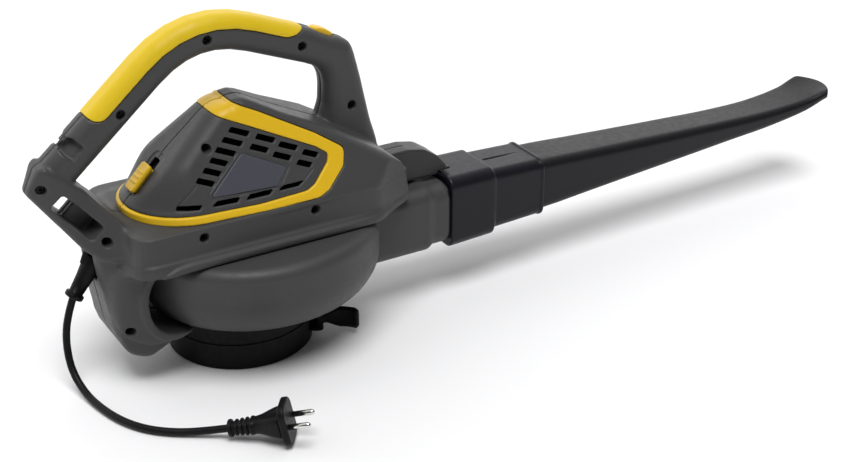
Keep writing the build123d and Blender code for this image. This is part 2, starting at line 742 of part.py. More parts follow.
with BuildPart() as armature_windings:
    # end turns above and below the core; the copper in the slots joins them
    for low in (CORE_BOTTOM - 7, CORE_BOTTOM + CORE_H):
        with BuildSketch(Plane.XY.offset(low)):
            Circle(ROTOR_R - 2)
            Circle(SHAFT_R + 2, mode=Mode.SUBTRACT)
        extrude(amount=7)
    fillet(armature_windings.edges().filter_by(GeomType.CIRCLE).group_by(Axis.Z)[0].sort_by(SortBy.RADIUS)[-1:], 3)
    fillet(armature_windings.edges().filter_by(GeomType.CIRCLE).group_by(Axis.Z)[-1].sort_by(SortBy.RADIUS)[-1:], 3)
    with BuildSketch(Plane.XY.offset(CORE_BOTTOM)):
        with PolarLocations(ROTOR_R - 5, 12):
            Rectangle(6.8, 3.2)
    extrude(amount=CORE_H)
armature_windings.part.label = "armature_windings"
export_step(armature_windings.part, "parts/armature_windings.step")

with BuildPart() as commutator:
    with BuildSketch(Plane.XY.offset(COMMUTATOR_BOTTOM)):
        Circle(COMMUTATOR_R)
        with PolarLocations(COMMUTATOR_R, 24):
            Rectangle(2.4, 0.5, mode=Mode.SUBTRACT)
        Circle(SHAFT_R, mode=Mode.SUBTRACT)
    extrude(amount=12)
commutator.part.label = "commutator"
export_step(commutator.part, "parts/commutator.step")


# ---- stator, bearings and brush gear ----

with BuildPart() as motor_plate:
    with BuildSketch(Plane.XY.offset(VOLUTE_TOP)):
        Circle(48)
        with PolarLocations(PLATE_SCREW_R, 4, start_angle=45):
            Circle(SCREW_R + 0.2, mode=Mode.SUBTRACT)
        with PolarLocations(26, 6):
            SlotOverall(12, 6, mode=Mode.SUBTRACT)
        with PolarLocations(TIE_R, 2):
            Circle(TIE_SCREW_R - 0.1, mode=Mode.SUBTRACT)
    extrude(amount=3.5)
    with BuildSketch(Plane.XY.offset(107)):
        Circle(14)
    extrude(amount=8.5)
    with BuildSketch(Plane.XY.offset(108.5)):
        Circle(BEARING_R)
    extrude(amount=8, mode=Mode.SUBTRACT)
    with BuildSketch(Plane.XY.offset(106)):
        Circle(8.5)
    extrude(amount=10, mode=Mode.SUBTRACT)
    # two pillars that carry the stator
    with BuildSketch(Plane.XY.offset(VOLUTE_TOP + 3.5)):
        with PolarLocations(TIE_R, 2):
            Circle(4.5)
            Circle(TIE_SCREW_R - 0.1, mode=Mode.SUBTRACT)
    extrude(amount=CORE_BOTTOM - VOLUTE_TOP - 3.5)
motor_plate.part.label = "motor_plate"
export_step(motor_plate.part, "parts/motor_plate.step")

with BuildPart() as plate_screws:
    with BuildSketch(Plane.XY.offset(VOLUTE_TOP + 3.5)):
        with PolarLocations(PLATE_SCREW_R, 4, start_angle=45):
            Circle(SCREW_HEAD_R)
    extrude(amount=2.2)
    with BuildSketch(Plane.XY.offset(VOLUTE_TOP - 6)):
        with PolarLocations(PLATE_SCREW_R, 4, start_angle=45):
            Circle(SCREW_R)
    extrude(amount=9.5)
plate_screws.part.label = "plate_screws"
export_step(plate_screws.part, "parts/plate_screws.step")


def ball_bearing(low, outer_r, bore_r, height):
    """A shielded ball bearing, drawn as its closed outer shape with stepped faces."""
    with BuildPart() as bearing:
        with BuildSketch(Plane.XZ):
            with BuildLine():
                Polyline((bore_r, low), (outer_r, low), (outer_r, low + height),
                         (outer_r - 1.6, low + height), (outer_r - 1.6, low + height - 0.5),
                         (bore_r + 1.4, low + height - 0.5), (bore_r + 1.4, low + height),
                         (bore_r, low + height), close=True)
            make_face()
        revolve(axis=Axis.Z)
    return bearing.part


with BuildPart() as lower_bearing:
    add(ball_bearing(108.5, BEARING_R, SHAFT_R + 0.03, 7))
lower_bearing.part.label = "lower_bearing"
export_step(lower_bearing.part, "parts/lower_bearing.step")

with BuildPart() as upper_bearing:
    add(ball_bearing(BRACKET_BOTTOM + 2, 9.5, SHAFT_TIP_R + 0.03, 6))
upper_bearing.part.label = "upper_bearing"
export_step(upper_bearing.part, "parts/upper_bearing.step")

with BuildPart() as stator_core:
    # a pole on each side of the rotor, along X, inside the ring of the laminations
    with BuildSketch(Plane.XY.offset(CORE_BOTTOM)):
        Circle(35.5)
        Circle(ROTOR_R + 0.6, mode=Mode.SUBTRACT)
        Rectangle(80, 46, mode=Mode.INTERSECT)
    extrude(amount=CORE_H)
    with BuildSketch(Plane.XY.offset(CORE_BOTTOM)):
        Circle(42)
        Circle(35, mode=Mode.SUBTRACT)
    extrude(amount=CORE_H)
    with BuildSketch(Plane.XY.offset(CORE_BOTTOM)):
        with PolarLocations(TIE_R, 2):
            Circle(TIE_SCREW_R + 0.2)
    extrude(amount=CORE_H, mode=Mode.SUBTRACT)
stator_core.part.label = "stator_core"
export_step(stator_core.part, "parts/stator_core.step")

with BuildPart() as field_coils:
    # one coil above and one below the shaft in plan, in the windows beside the poles
    with BuildSketch(Plane.XY.offset(CORE_BOTTOM - 8)):
        Circle(34.5)
        Circle(ROTOR_R + 1.5, mode=Mode.SUBTRACT)
        with Locations((0, 40), (0, -40)):
            Rectangle(46, 32, mode=Mode.INTERSECT)
    extrude(amount=CORE_H + 16)
field_coils.part.label = "field_coils"
export_step(field_coils.part, "parts/field_coils.step")

with BuildPart() as end_bracket:
    with BuildSketch(Plane.XY.offset(BRACKET_BOTTOM)):
        SlotOverall(2 * TIE_R + 11, 11)
        Circle(13)
        Circle(SHAFT_TIP_R + 2.5, mode=Mode.SUBTRACT)
        with PolarLocations(TIE_R, 2):
            Circle(TIE_SCREW_R + 0.2, mode=Mode.SUBTRACT)
    extrude(amount=2)
    with BuildSketch(Plane.XY.offset(BRACKET_BOTTOM + 2)):
        Circle(12)
        Circle(9.5, mode=Mode.SUBTRACT)
    extrude(amount=7)
    with BuildSketch(Plane.XY.offset(CORE_BOTTOM + CORE_H)):
        with PolarLocations(TIE_R, 2):
            Circle(4)
            Circle(TIE_SCREW_R + 0.2, mode=Mode.SUBTRACT)
    extrude(amount=BRACKET_BOTTOM - CORE_BOTTOM - CORE_H)
end_bracket.part.label = "end_bracket"
export_step(end_bracket.part, "parts/end_bracket.step")

with BuildPart() as motor_screws:
    with BuildSketch(Plane.XY.offset(BRACKET_BOTTOM + 2)):
        with PolarLocations(TIE_R, 2):
            Circle(3.6)
    extrude(amount=2.6)
    with BuildSketch(Plane.XY.offset(VOLUTE_TOP + 0.5)):
        with PolarLocations(TIE_R, 2):
            Circle(TIE_SCREW_R - 0.15)
    extrude(amount=BRACKET_BOTTOM + 1.5 - VOLUTE_TOP)
motor_screws.part.label = "motor_screws"
export_step(motor_screws.part, "parts/motor_screws.step")

with BuildPart() as carbon_brushes:
    for side in (-1, 1):
        with BuildSketch(Plane.XZ.offset(side * (COMMUTATOR_R + 0.4))):
            with Locations((0, BRUSH_Z)):
                Rectangle(6, 8)
        extrude(amount=side * 15)
carbon_brushes.part.label = "carbon_brushes"
export_step(carbon_brushes.part, "parts/carbon_brushes.step")

with BuildPart() as brush_holders:
    for side in (-1, 1):
        with BuildSketch(Plane.XZ.offset(side * (COMMUTATOR_R + 2.5))):
            with Locations((0, BRUSH_Z)):
                Rectangle(9, 11)
                Rectangle(6.2, 8.2, mode=Mode.SUBTRACT)
        extrude(amount=side * 20)
        with BuildSketch(Plane.XZ.offset(side * (COMMUTATOR_R + 22.5))):
            with Locations((0, BRUSH_Z)):
                Rectangle(9, 11)
        extrude(amount=side * 1.2)
brush_holders.part.label = "brush_holders"
export_step(brush_holders.part, "parts/brush_holders.step")

with BuildPart() as brush_springs:
    for side in (-1, 1):
        with BuildSketch(Plane.XZ.offset(side * (COMMUTATOR_R + 15.6))):
            with Locations((0, BRUSH_Z)):
                Circle(2.6)
                Circle(1.6, mode=Mode.SUBTRACT)
        extrude(amount=side * 6.7)
brush_springs.part.label = "brush_springs"
export_step(brush_springs.part, "parts/brush_springs.step")


# ---- controls ----

with BuildPart() as speed_button:
    with BuildSketch(BUTTON_PLANE.offset(4)):
        SlotOverall(BUTTON_L, BUTTON_W)
    extrude(amount=-12)
    fillet(speed_button.faces().sort_by(Axis.Z)[-1].edges(), 2)
    with BuildSketch(BUTTON_PLANE.offset(-7.8)):
        SlotOverall(10, 6)
    extrude(amount=-1.2)
speed_button.part.label = "speed_button"
export_step(speed_button.part, "parts/speed_button.step")

with BuildPart() as switch_body:
    with BuildSketch(BUTTON_PLANE.offset(-13)):
        Rectangle(22, 14)
    extrude(amount=-8)
switch_body.part.label = "switch_body"
export_step(switch_body.part, "parts/switch_body.step")

with BuildPart() as selector_slide:
    with BuildSketch(SELECTOR_PLANE.offset(FIT)):
        RectangleRounded(27, 16, 2.5)
    extrude(amount=4.5)
    # three grip ridges across it
    with BuildSketch(SELECTOR_PLANE.offset(4.5)):
        with Locations((-5, 0), (0, 0), (5, 0)):
            Rectangle(1.6, 12)
    extrude(amount=1.2)
    # stem through the cover, and the keeper behind it
    with BuildSketch(SELECTOR_PLANE.offset(FIT + 0.1)):
        Rectangle(24, 9.6)
    extrude(amount=-WALL - 2 * FIT - 0.1)
    with BuildSketch(SELECTOR_PLANE.offset(-WALL - FIT)):
        Rectangle(24, 14)
    extrude(amount=-1.6)
selector_slide.part.label = "selector_slide"
export_step(selector_slide.part, "parts/selector_slide.step")

with BuildPart() as selector_switch:
    with BuildSketch(SELECTOR_PLANE.offset(-7)):
        with Locations((4, 0)):
            Rectangle(30, 14)
    extrude(amount=-8)
selector_switch.part.label = "selector_switch"
export_step(selector_switch.part, "parts/selector_switch.step")

with BuildPart() as control_board:
    with Locations((88, 0, 122)):
        Box(46, 56, 1.6)
    # its heat sink, capacitor and terminal block
    with Locations((76, -14, 122.8)):
        Box(14, 18, 14, align=(Align.CENTER, Align.CENTER, Align.MIN))
    with Locations((92, 14, 122.8)):
        Cylinder(6, 16, align=(Align.CENTER, Align.CENTER, Align.MIN))
    with Locations((104, -8, 122.8)):
        Box(8, 24, 9, align=(Align.CENTER, Align.CENTER, Align.MIN))
control_board.part.label = "control_board"
export_step(control_board.part, "parts/control_board.step")


# ---- blower tube and its release lever ----

with BuildPart() as release_lever:
    with BuildSketch(Plane.XZ):
        with BuildLine():
            Polyline((140.5, 119), (140.5, 147), (181, 147), (200, 138.5), (213, 124.5), (213, 118.5),
                     (204, 118.5), (203, 115), (146, 115), close=True)
        make_face()
    extrude(amount=RELEASE_HALF, both=True)
    fillet(release_lever.edges().filter_by(Axis.Y).group_by(Axis.Z)[-1].sort_by(Axis.X)[-1], 8)
    with BuildSketch(Plane.XZ.offset(-20)):
        with Locations(RELEASE_PIVOT):
            Circle(2.05)
    extrude(amount=40, mode=Mode.SUBTRACT)
    # hollow under the top
    with BuildSketch(Plane.XZ):
        with BuildLine():
            Polyline((166, 112), (166, 143), (180, 143), (197, 135), (206, 124), (206, 112), close=True)
        make_face()
    extrude(amount=RELEASE_HALF - 2.5, both=True, mode=Mode.SUBTRACT)
release_lever.part.label = "release_lever"
export_step(release_lever.part, "parts/release_lever.step")

with BuildPart() as release_pin:
    with BuildSketch(Plane.XZ.offset(-18)):
        with Locations(RELEASE_PIVOT):
            Circle(2)
    extrude(amount=36)
release_pin.part.label = "release_pin"
export_step(release_pin.part, "parts/release_pin.step")


def tube_solid(stations, inset):
    """A tube lofted straight from station to station: x, axis height, width, height, corner radius."""
    with BuildPart() as solid:
        for near, far in zip(stations, stations[1:]):
            for x, z, wide, high, radius in (near, far):
                with BuildSketch(Plane.YZ.offset(x)):
                    with Locations((0, z)):
                        RectangleRounded(wide - 2 * inset, high - 2 * inset, radius - inset)
            loft(ruled=True)
    return solid.part


with BuildPart() as tube_rear:
    add(tube_solid(SPIGOT_STATIONS, 0))
    add(tube_solid(TUBE_STATIONS, 0))
    add(tube_solid(TUBE_BORE_STATIONS, TUBE_WALL), mode=Mode.SUBTRACT)
tube_rear.part.label = "tube_rear"
export_step(tube_rear.part, "parts/tube_rear.step")

with BuildPart() as tube_nozzle:
    add(tube_solid(NOZZLE_STATIONS, 0))
    add(tube_solid(NOZZLE_BORE_STATIONS, TUBE_WALL), mode=Mode.SUBTRACT)
tube_nozzle.part.label = "tube_nozzle"
export_step(tube_nozzle.part, "parts/tube_nozzle.step")
print("tube solids", len(tube_rear.part.solids()), len(tube_nozzle.part.solids()))


# ---- mains cord ----

cord_exit = Vector(*CORD_POINTS[0])
boot_axis = (Vector(*CORD_POINTS[1]) - cord_exit).normalized()
boot_root = cord_exit - boot_axis * BOOT_L
BOOT_PLANE = Plane(origin=boot_root, x_dir=(0, 1, 0), z_dir=boot_axis)

with BuildPart() as strain_relief:
    with BuildSketch(BOOT_PLANE):
        Circle(6)
    with BuildSketch(BOOT_PLANE.offset(BOOT_L - 5)):
        Circle(4.8)
    loft()
    with BuildSketch(BOOT_PLANE.offset(BOOT_L - 5)):
        Circle(8)
    extrude(amount=5)
    fillet(strain_relief.edges().filter_by(GeomType.CIRCLE).sort_by(Axis.Z)[:1], 1)
    # moulded flexing ribs
    for step in range(5):
        with BuildSketch(BOOT_PLANE.offset(6 + 4.2 * step)):
            Circle(6.4 - 0.2 * step)
            Circle(4, mode=Mode.SUBTRACT)
        extrude(amount=1.8)
    with BuildSketch(BOOT_PLANE.offset(-3)):
        Circle(8.5)
    extrude(amount=3)
strain_relief.part.label = "strain_relief"
export_step(strain_relief.part, "parts/strain_relief.step")

with BuildPart() as cord_tail:
    # the cord inside the housing, from the boot through its clamp to the terminals
    with BuildSketch(BOOT_PLANE.offset(-3)):
        Circle(CORD_R)
    extrude(amount=-24)
cord_tail.part.label = "cord_tail"
export_step(cord_tail.part, "parts/cord_tail.step")

with BuildPart() as cord_clamp:
    with BuildSketch(BOOT_PLANE.offset(-24)):
        RectangleRounded(17, 9, 2)
        Circle(CORD_R, mode=Mode.SUBTRACT)
        with Locations((-6, 0), (6, 0)):
            Circle(1.1, mode=Mode.SUBTRACT)
    extrude(amount=6)
cord_clamp.part.label = "cord_clamp"
export_step(cord_clamp.part, "parts/cord_clamp.step")

bends = []
for before, at, after in zip(CORD_POINTS, CORD_POINTS[1:], CORD_POINTS[2:]):
    run_in = Vector(*at) - Vector(*before)
    run_out = Vector(*after) - Vector(*at)
    half_turn = radians(run_in.get_angle(run_out) / 2)
    bends.append(0.45 * min(run_in.length, run_out.length) * cos(half_turn) / sin(half_turn))
print("cord bend radii", [round(radius, 1) for radius in bends])

with BuildPart() as power_cord:
    with BuildLine() as route:
        FilletPolyline(*CORD_POINTS, radius=bends)
    with BuildSketch(Plane(origin=CORD_POINTS[0], z_dir=boot_axis)):
        Circle(CORD_R)
    sweep(path=route.line)
power_cord.part.label = "power_cord"
export_step(power_cord.part, "parts/power_cord.step")
cord_length = sum(edge.length for edge in route.line.edges())
print("cord length", round(cord_length, 1), "volume against section times length",
      round(power_cord.part.volume / (pi * CORD_R ** 2 * cord_length), 4))

plug_tail = Vector(*CORD_POINTS[-1])
plug_axis = (plug_tail - Vector(*CORD_POINTS[-2])).normalized()
PLUG_PLANE = Plane(origin=plug_tail, x_dir=plug_axis.cross(Vector(0, 0, 1)), z_dir=plug_axis)

with BuildPart() as plug_body:
    # collar and ribbed sleeve on the cord, then the body that widens to the round flange
    with BuildSketch(PLUG_PLANE):
        Circle(5)
    extrude(amount=24)
    for step in range(5):
        with BuildSketch(PLUG_PLANE.offset(3 * step)):
            Circle(6.2)
        extrude(amount=1.8)
    with BuildSketch(PLUG_PLANE.offset(16)):
        RectangleRounded(15, 12, 5)
    with BuildSketch(PLUG_PLANE.offset(44)):
        RectangleRounded(28, 18, 7)
    loft()
    with BuildSketch(PLUG_PLANE.offset(44)):
        Circle(PLUG_FLANGE_R)
    extrude(amount=8)
plug_body.part.label = "plug_body"
export_step(plug_body.part, "parts/plug_body.step")

with BuildPart() as plug_pins:
    with BuildSketch(PLUG_PLANE.offset(52)):
        with Locations((-9.5, 0), (9.5, 0)):
            Circle(2.4)
    extrude(amount=19)
plug_pins.part.label = "plug_pins"
export_step(plug_pins.part, "parts/plug_pins.step")
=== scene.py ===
import json
import math
import bpy
import numpy as np
from mathutils import Matrix, Vector


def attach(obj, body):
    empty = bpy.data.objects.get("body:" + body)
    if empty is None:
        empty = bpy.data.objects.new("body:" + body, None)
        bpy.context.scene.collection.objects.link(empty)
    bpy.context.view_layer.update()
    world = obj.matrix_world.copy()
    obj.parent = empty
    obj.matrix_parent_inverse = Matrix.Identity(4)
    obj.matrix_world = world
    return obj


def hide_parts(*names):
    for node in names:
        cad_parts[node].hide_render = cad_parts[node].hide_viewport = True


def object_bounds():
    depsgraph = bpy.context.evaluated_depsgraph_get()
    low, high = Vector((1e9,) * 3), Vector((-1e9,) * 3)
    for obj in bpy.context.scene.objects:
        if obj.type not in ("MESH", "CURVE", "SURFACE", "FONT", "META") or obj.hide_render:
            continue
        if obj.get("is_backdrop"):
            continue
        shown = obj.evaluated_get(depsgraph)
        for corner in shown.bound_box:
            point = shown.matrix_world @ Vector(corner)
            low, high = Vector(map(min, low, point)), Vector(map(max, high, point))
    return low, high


# Electric leaf blower. Shapes are worked out in millimetres in the CAD frame and turned into metres
# when a mesh is made. +X is forward along the tube, +Y the user's left, +Z up.
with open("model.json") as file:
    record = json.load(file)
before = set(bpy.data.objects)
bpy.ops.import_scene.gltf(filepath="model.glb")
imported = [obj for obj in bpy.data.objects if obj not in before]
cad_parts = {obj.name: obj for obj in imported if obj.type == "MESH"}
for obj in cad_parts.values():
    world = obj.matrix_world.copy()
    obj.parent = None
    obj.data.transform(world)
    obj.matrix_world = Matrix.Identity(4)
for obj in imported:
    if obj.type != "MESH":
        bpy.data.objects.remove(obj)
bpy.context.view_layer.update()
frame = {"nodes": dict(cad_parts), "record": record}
MM = 0.001
COARSE = 1.3        # sampling pitch of the big shells
MIDDLE = 0.9        # of the covers, the band, the grip and the lever
FINE = 0.6          # of the small pieces
GAP = 0.35                                 # seam between two moulded pieces


# ------------------------------------------------------------ camera and cord

camera_data = bpy.data.cameras.new("camera")
camera_data.lens = 63.6
camera_data.sensor_width = 36
camera_data.clip_start = 0.05
camera_data.clip_end = 60
camera = bpy.data.objects.new("camera", camera_data)
camera.location = (-0.470, -1.103, 0.699)
camera.rotation_euler = (math.radians(63.35), 0, math.radians(-31.14))
bpy.context.scene.collection.objects.link(camera)
bpy.context.scene.camera = camera

CORD_D = 6.5
CORD_ROUTE = [
    (-151, 0, 79.5), (-158.5, 0, 61.5), (-163, -4, 38.5), (-163.5, -14, 17.5), (-160, -34, 5),
    (-156, -58, 3.5), (-149, -84, 3.4), (-137, -106, 3.4), (-121, -122, 3.5), (-101, -135, 4.2),
    (-80, -150.5, 9.5),
]


def make_cord():
    """The mains cord: one smooth spline through the open air, from the boot to the plug."""
    curve = bpy.data.curves.new("power_cord_line", "CURVE")
    curve.dimensions = "3D"
    curve.bevel_depth = CORD_D / 2 * MM
    curve.bevel_resolution = 6
    curve.resolution_u = 16
    curve.use_fill_caps = True
    spline = curve.splines.new("NURBS")
    spline.points.add(len(CORD_ROUTE) - 1)
    for point, place in zip(spline.points, CORD_ROUTE):
        point.co = (place[0] * MM, place[1] * MM, place[2] * MM, 1)
    spline.order_u = 3
    spline.use_endpoint_u = True
    cord = bpy.data.objects.new("mains_cord", curve)
    bpy.context.scene.collection.objects.link(cord)
    return cord


# ------------------------------------------------------------ distance fields

class Block:
    """A box of space sampled at a regular pitch, in millimetres."""

    def __init__(self, low, high, step):
        self.low = np.array(low, np.float32) - 1.5 * step
        counts = np.ceil((np.array(high) - np.array(low)) / step + 3).astype(int) + 1
        axes = [self.low[i] + step * np.arange(counts[i], dtype=np.float32) for i in range(3)]
        self.step = step
        self.x = axes[0][:, None, None]
        self.y = axes[1][None, :, None]
        self.z = axes[2][None, None, :]


def length(a, b):
    return np.sqrt(a * a + b * b)


def both(a, b, r=0.0):
    """What two shapes share, its edge rounded to radius r."""
    a = a + r
    b = b + r
    return length(np.maximum(a, 0), np.maximum(b, 0)) + np.minimum(np.maximum(a, b), 0) - r


def merge(a, b, k):
    """Two shapes as one, with a soft fillet of about k where they meet."""
    h = np.maximum(k - np.abs(a - b), 0) / k
    return np.minimum(a, b) - h * h * k * 0.25


def carve(a, b, r=0.0):
    """Shape a without shape b, the new edge rounded to radius r."""
    return both(a, -b, r)


def smooth(value, low, high):
    """0 below low, 1 above high, and a soft turn between."""
    t = np.clip((value - low) / (high - low), 0, 1)
    return t * t * (3 - 2 * t)


def rounded(corners, radius=0.0):
    """An outline with its corners turned into short curves. A corner may carry its own radius."""
    out = []
    for i, corner in enumerate(corners):
        p = np.array(corner[:2], float)
        r = corner[2] if len(corner) > 2 else radius
        a = np.array(corners[i - 1][:2], float) - p
        b = np.array(corners[(i + 1) % len(corners)][:2], float) - p
        la, lb = np.linalg.norm(a), np.linalg.norm(b)
        a, b = a / la, b / lb
        half = 0.5 * math.acos(max(-1.0, min(1.0, float(a @ b))))
        cut = min(r / max(math.tan(half), 0.05), 0.49 * la, 0.49 * lb)
        if cut < 0.05:
            out.append(p)
            continue
        for t in np.linspace(0, 1, 7):
            out.append((1 - t) ** 2 * (p + a * cut) + 2 * t * (1 - t) * p + t * t * (p + b * cut))
    return out


def outline(u, v, points):
    """Signed distance from a closed outline, negative inside."""
    u, v = np.broadcast_arrays(u, v)
    best = np.full(u.shape, 1e9, np.float32)
    inside = np.zeros(u.shape, bool)
    for a, b in zip(points, list(points[1:]) + [points[0]]):
        eu, ev = b[0] - a[0], b[1] - a[1]
        wu, wv = u - a[0], v - a[1]
        t = np.clip((wu * eu + wv * ev) / (eu * eu + ev * ev + 1e-12), 0, 1)
        best = np.minimum(best, (wu - eu * t) ** 2 + (wv - ev * t) ** 2)
        if abs(ev) > 1e-9:
            inside ^= ((a[1] > v) != (b[1] > v)) & (wu < eu * wv / ev)
    return (np.where(inside, -1, 1) * np.sqrt(best)).astype(np.float32)


def along_path(u, v, points):
    """How far along an open path the nearest point of it is, and the signed distance to its left."""
    u, v = np.broadcast_arrays(u, v)
    best = np.full(u.shape, 1e9, np.float32)
    along = np.zeros(u.shape, np.float32)
    off = np.zeros(u.shape, np.float32)
    run = 0.0
    for a, b in zip(points, points[1:]):
        eu, ev = b[0] - a[0], b[1] - a[1]
        size = math.hypot(eu, ev)
        wu, wv = u - a[0], v - a[1]
        t = np.clip((wu * eu + wv * ev) / (size * size), 0, 1)
        d = (wu - eu * t) ** 2 + (wv - ev * t) ** 2
        near = d < best
        best = np.where(near, d, best)
        along = np.where(near, run + t * size, along)
        side = np.where(eu * wv - ev * wu >= 0, 1, -1)
        off = np.where(near, side * np.sqrt(d), off)
        run += size
    return along.astype(np.float32), off.astype(np.float32)


def box2(u, v, hu, hv, r):
    """Signed distance from a rectangle with rounded corners, centred on 0, 0."""
    return both(np.abs(u) - hu, np.abs(v) - hv, r)


def turned(u, v, cu, cv, degrees):
    """Coordinates in a frame at cu, cv turned by an angle."""
    c, s = math.cos(math.radians(degrees)), math.sin(math.radians(degrees))
    return (u - cu) * c + (v - cv) * s, -(u - cu) * s + (v - cv) * c


# ------------------------------------------------------------ meshes

def probe(d, at):
    """The field at fractional grid places, by trilinear interpolation."""
    at = np.clip(at, 0, np.array(d.shape) - 1.001)
    i = at.astype(int)
    f = (at - i).astype(np.float32)
    total = np.zeros(len(at), np.float32)
    for corner in range(8):
        o = [corner & 1, corner >> 1 & 1, corner >> 2 & 1]
        weight = np.prod([f[:, k] if o[k] else 1 - f[:, k] for k in range(3)], axis=0)
        total += weight * d[i[:, 0] + o[0], i[:, 1] + o[1], i[:, 2] + o[2]]
    return total


def skin(d, block):
    """Vertices in mm, quads and vertex normals of the field's zero surface."""
    inside = d < 0
    n = np.array(d.shape)
    count = np.zeros(n - 1, np.uint8)
    for c in range(8):
        o = [c & 1, c >> 1 & 1, c >> 2 & 1]
        count += inside[o[0]:n[0] - 1 + o[0], o[1]:n[1] - 1 + o[1], o[2]:n[2] - 1 + o[2]]
    mixed = (count > 0) & (count < 8)
    cells = np.argwhere(mixed)
    index = np.full(mixed.shape, -1, np.int32)
    index[mixed] = np.arange(len(cells))
    total = np.zeros((len(cells), 3), np.float32)
    hits = np.zeros(len(cells), np.float32)
    for axis in range(3):
        for i in (0, 1):
            for j in (0, 1):
                a = np.zeros(3, int)
                a[(axis + 1) % 3], a[(axis + 2) % 3] = i, j
                b = a.copy()
                b[axis] = 1
                da = d[tuple((cells + a).T)]
                db = d[tuple((cells + b).T)]
                cut = (da < 0) != (db < 0)
                t = np.where(cut, da / np.where(cut, da - db, 1), 0)
                total += cut[:, None] * (a + t[:, None] * (b - a))
                hits += cut
    at = cells + total / hits[:, None]
    for attempt in range(3):
        slope = np.empty_like(at)
        reach = 0.5 if attempt < 2 else 0.9
        for axis in range(3):
            shift = np.zeros(3)
            shift[axis] = reach
            slope[:, axis] = probe(d, at + shift) - probe(d, at - shift)
        size = np.linalg.norm(slope, axis=1, keepdims=True) + 1e-9
        if attempt < 2:
            move = -probe(d, at)[:, None] / size * (slope / size)
            at = at + np.clip(move, -0.35, 0.35)
    normals = slope / size
    quads = []
    for axis in range(3):
        u, v = (axis + 1) % 3, (axis + 2) % 3
        one = [slice(None)] * 3
        two = [slice(None)] * 3
        one[axis], two[axis] = slice(0, -1), slice(1, None)
        change = inside[tuple(one)] != inside[tuple(two)]
        edges = np.argwhere(change)
        edges = edges[(edges[:, u] > 0) & (edges[:, v] > 0) & (edges[:, u] < n[u] - 1) & (edges[:, v] < n[v] - 1)]
        du, dv = np.zeros(3, int), np.zeros(3, int)
        du[u], dv[v] = 1, 1
        ring = np.stack([index[tuple((edges - s).T)] for s in (0 * du, du, du + dv, dv)], axis=1)
        flip = ~inside[tuple(edges.T)]
        ring[flip] = ring[flip][:, ::-1]
        quads.append(ring)
    return block.low + block.step * at, np.concatenate(quads), normals


def add_mesh(name, points, faces, normals=None):
    """A smooth mesh object from arrays: points in mm, faces as rows of equal length."""
    mesh = bpy.data.meshes.new(name)
    mesh.vertices.add(len(points))
    mesh.vertices.foreach_set("co", np.ascontiguousarray(points * MM, np.float32).ravel())
    mesh.loops.add(faces.size)
    mesh.loops.foreach_set("vertex_index", faces.ravel().astype(np.int32))
    mesh.polygons.add(len(faces))
    mesh.polygons.foreach_set("loop_start", np.arange(0, faces.size, faces.shape[1], dtype=np.int32))
    mesh.update(calc_edges=True)
    mesh.polygons.foreach_set("use_smooth", np.ones(len(faces), bool))
    if normals is not None:
        mesh.normals_split_custom_set_from_vertices(normals.tolist())
    piece = bpy.data.objects.new(name, mesh)
    bpy.context.scene.collection.objects.link(piece)
    return piece


def finish_piece(piece, material, slot, body, *nodes):
    piece.data.materials.clear()
    piece.data.materials.append(material)
    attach(piece, body)
    if nodes:
        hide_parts(*nodes)
    return piece


def solid(name, low, high, step, field):
    """A piece from a distance field, sampled in a box."""
    block = Block(low, high, step)
    d = field(block)
    shape = np.broadcast(block.x, block.y, block.z).shape
    return add_mesh(name, *skin(np.ascontiguousarray(np.broadcast_to(d, shape), np.float32), block))


def ring_faces(rings, sides, closed=False):
    """Quads between each ring of points and the next, and from the last to the first if closed."""
    k = np.arange(sides)
    after = (k + 1) % sides
    faces = []
    for ring in range(rings if closed else rings - 1):
        other = (ring + 1) % rings
        a, c = ring * sides, other * sides
        faces.append(np.stack([a + k, a + after, c + after, c + k], 1))
    return np.concatenate(faces)


def lathe(name, profile, root, axis, sides=64):
    """A turned piece: profile is (distance along the axis, radius), closed on the axis."""
    turn = Vector(axis).normalized().to_track_quat("Z", "Y").to_matrix()
    angles = np.linspace(0, 2 * math.pi, sides, endpoint=False)
    rings = [np.stack([r * np.cos(angles), r * np.sin(angles), np.full(sides, a)], 1) for a, r in profile]
    points = np.concatenate(rings) @ np.array(turn).T + np.array(root)
    return add_mesh(name, points, ring_faces(len(profile), sides))


# ------------------------------------------------------------ materials

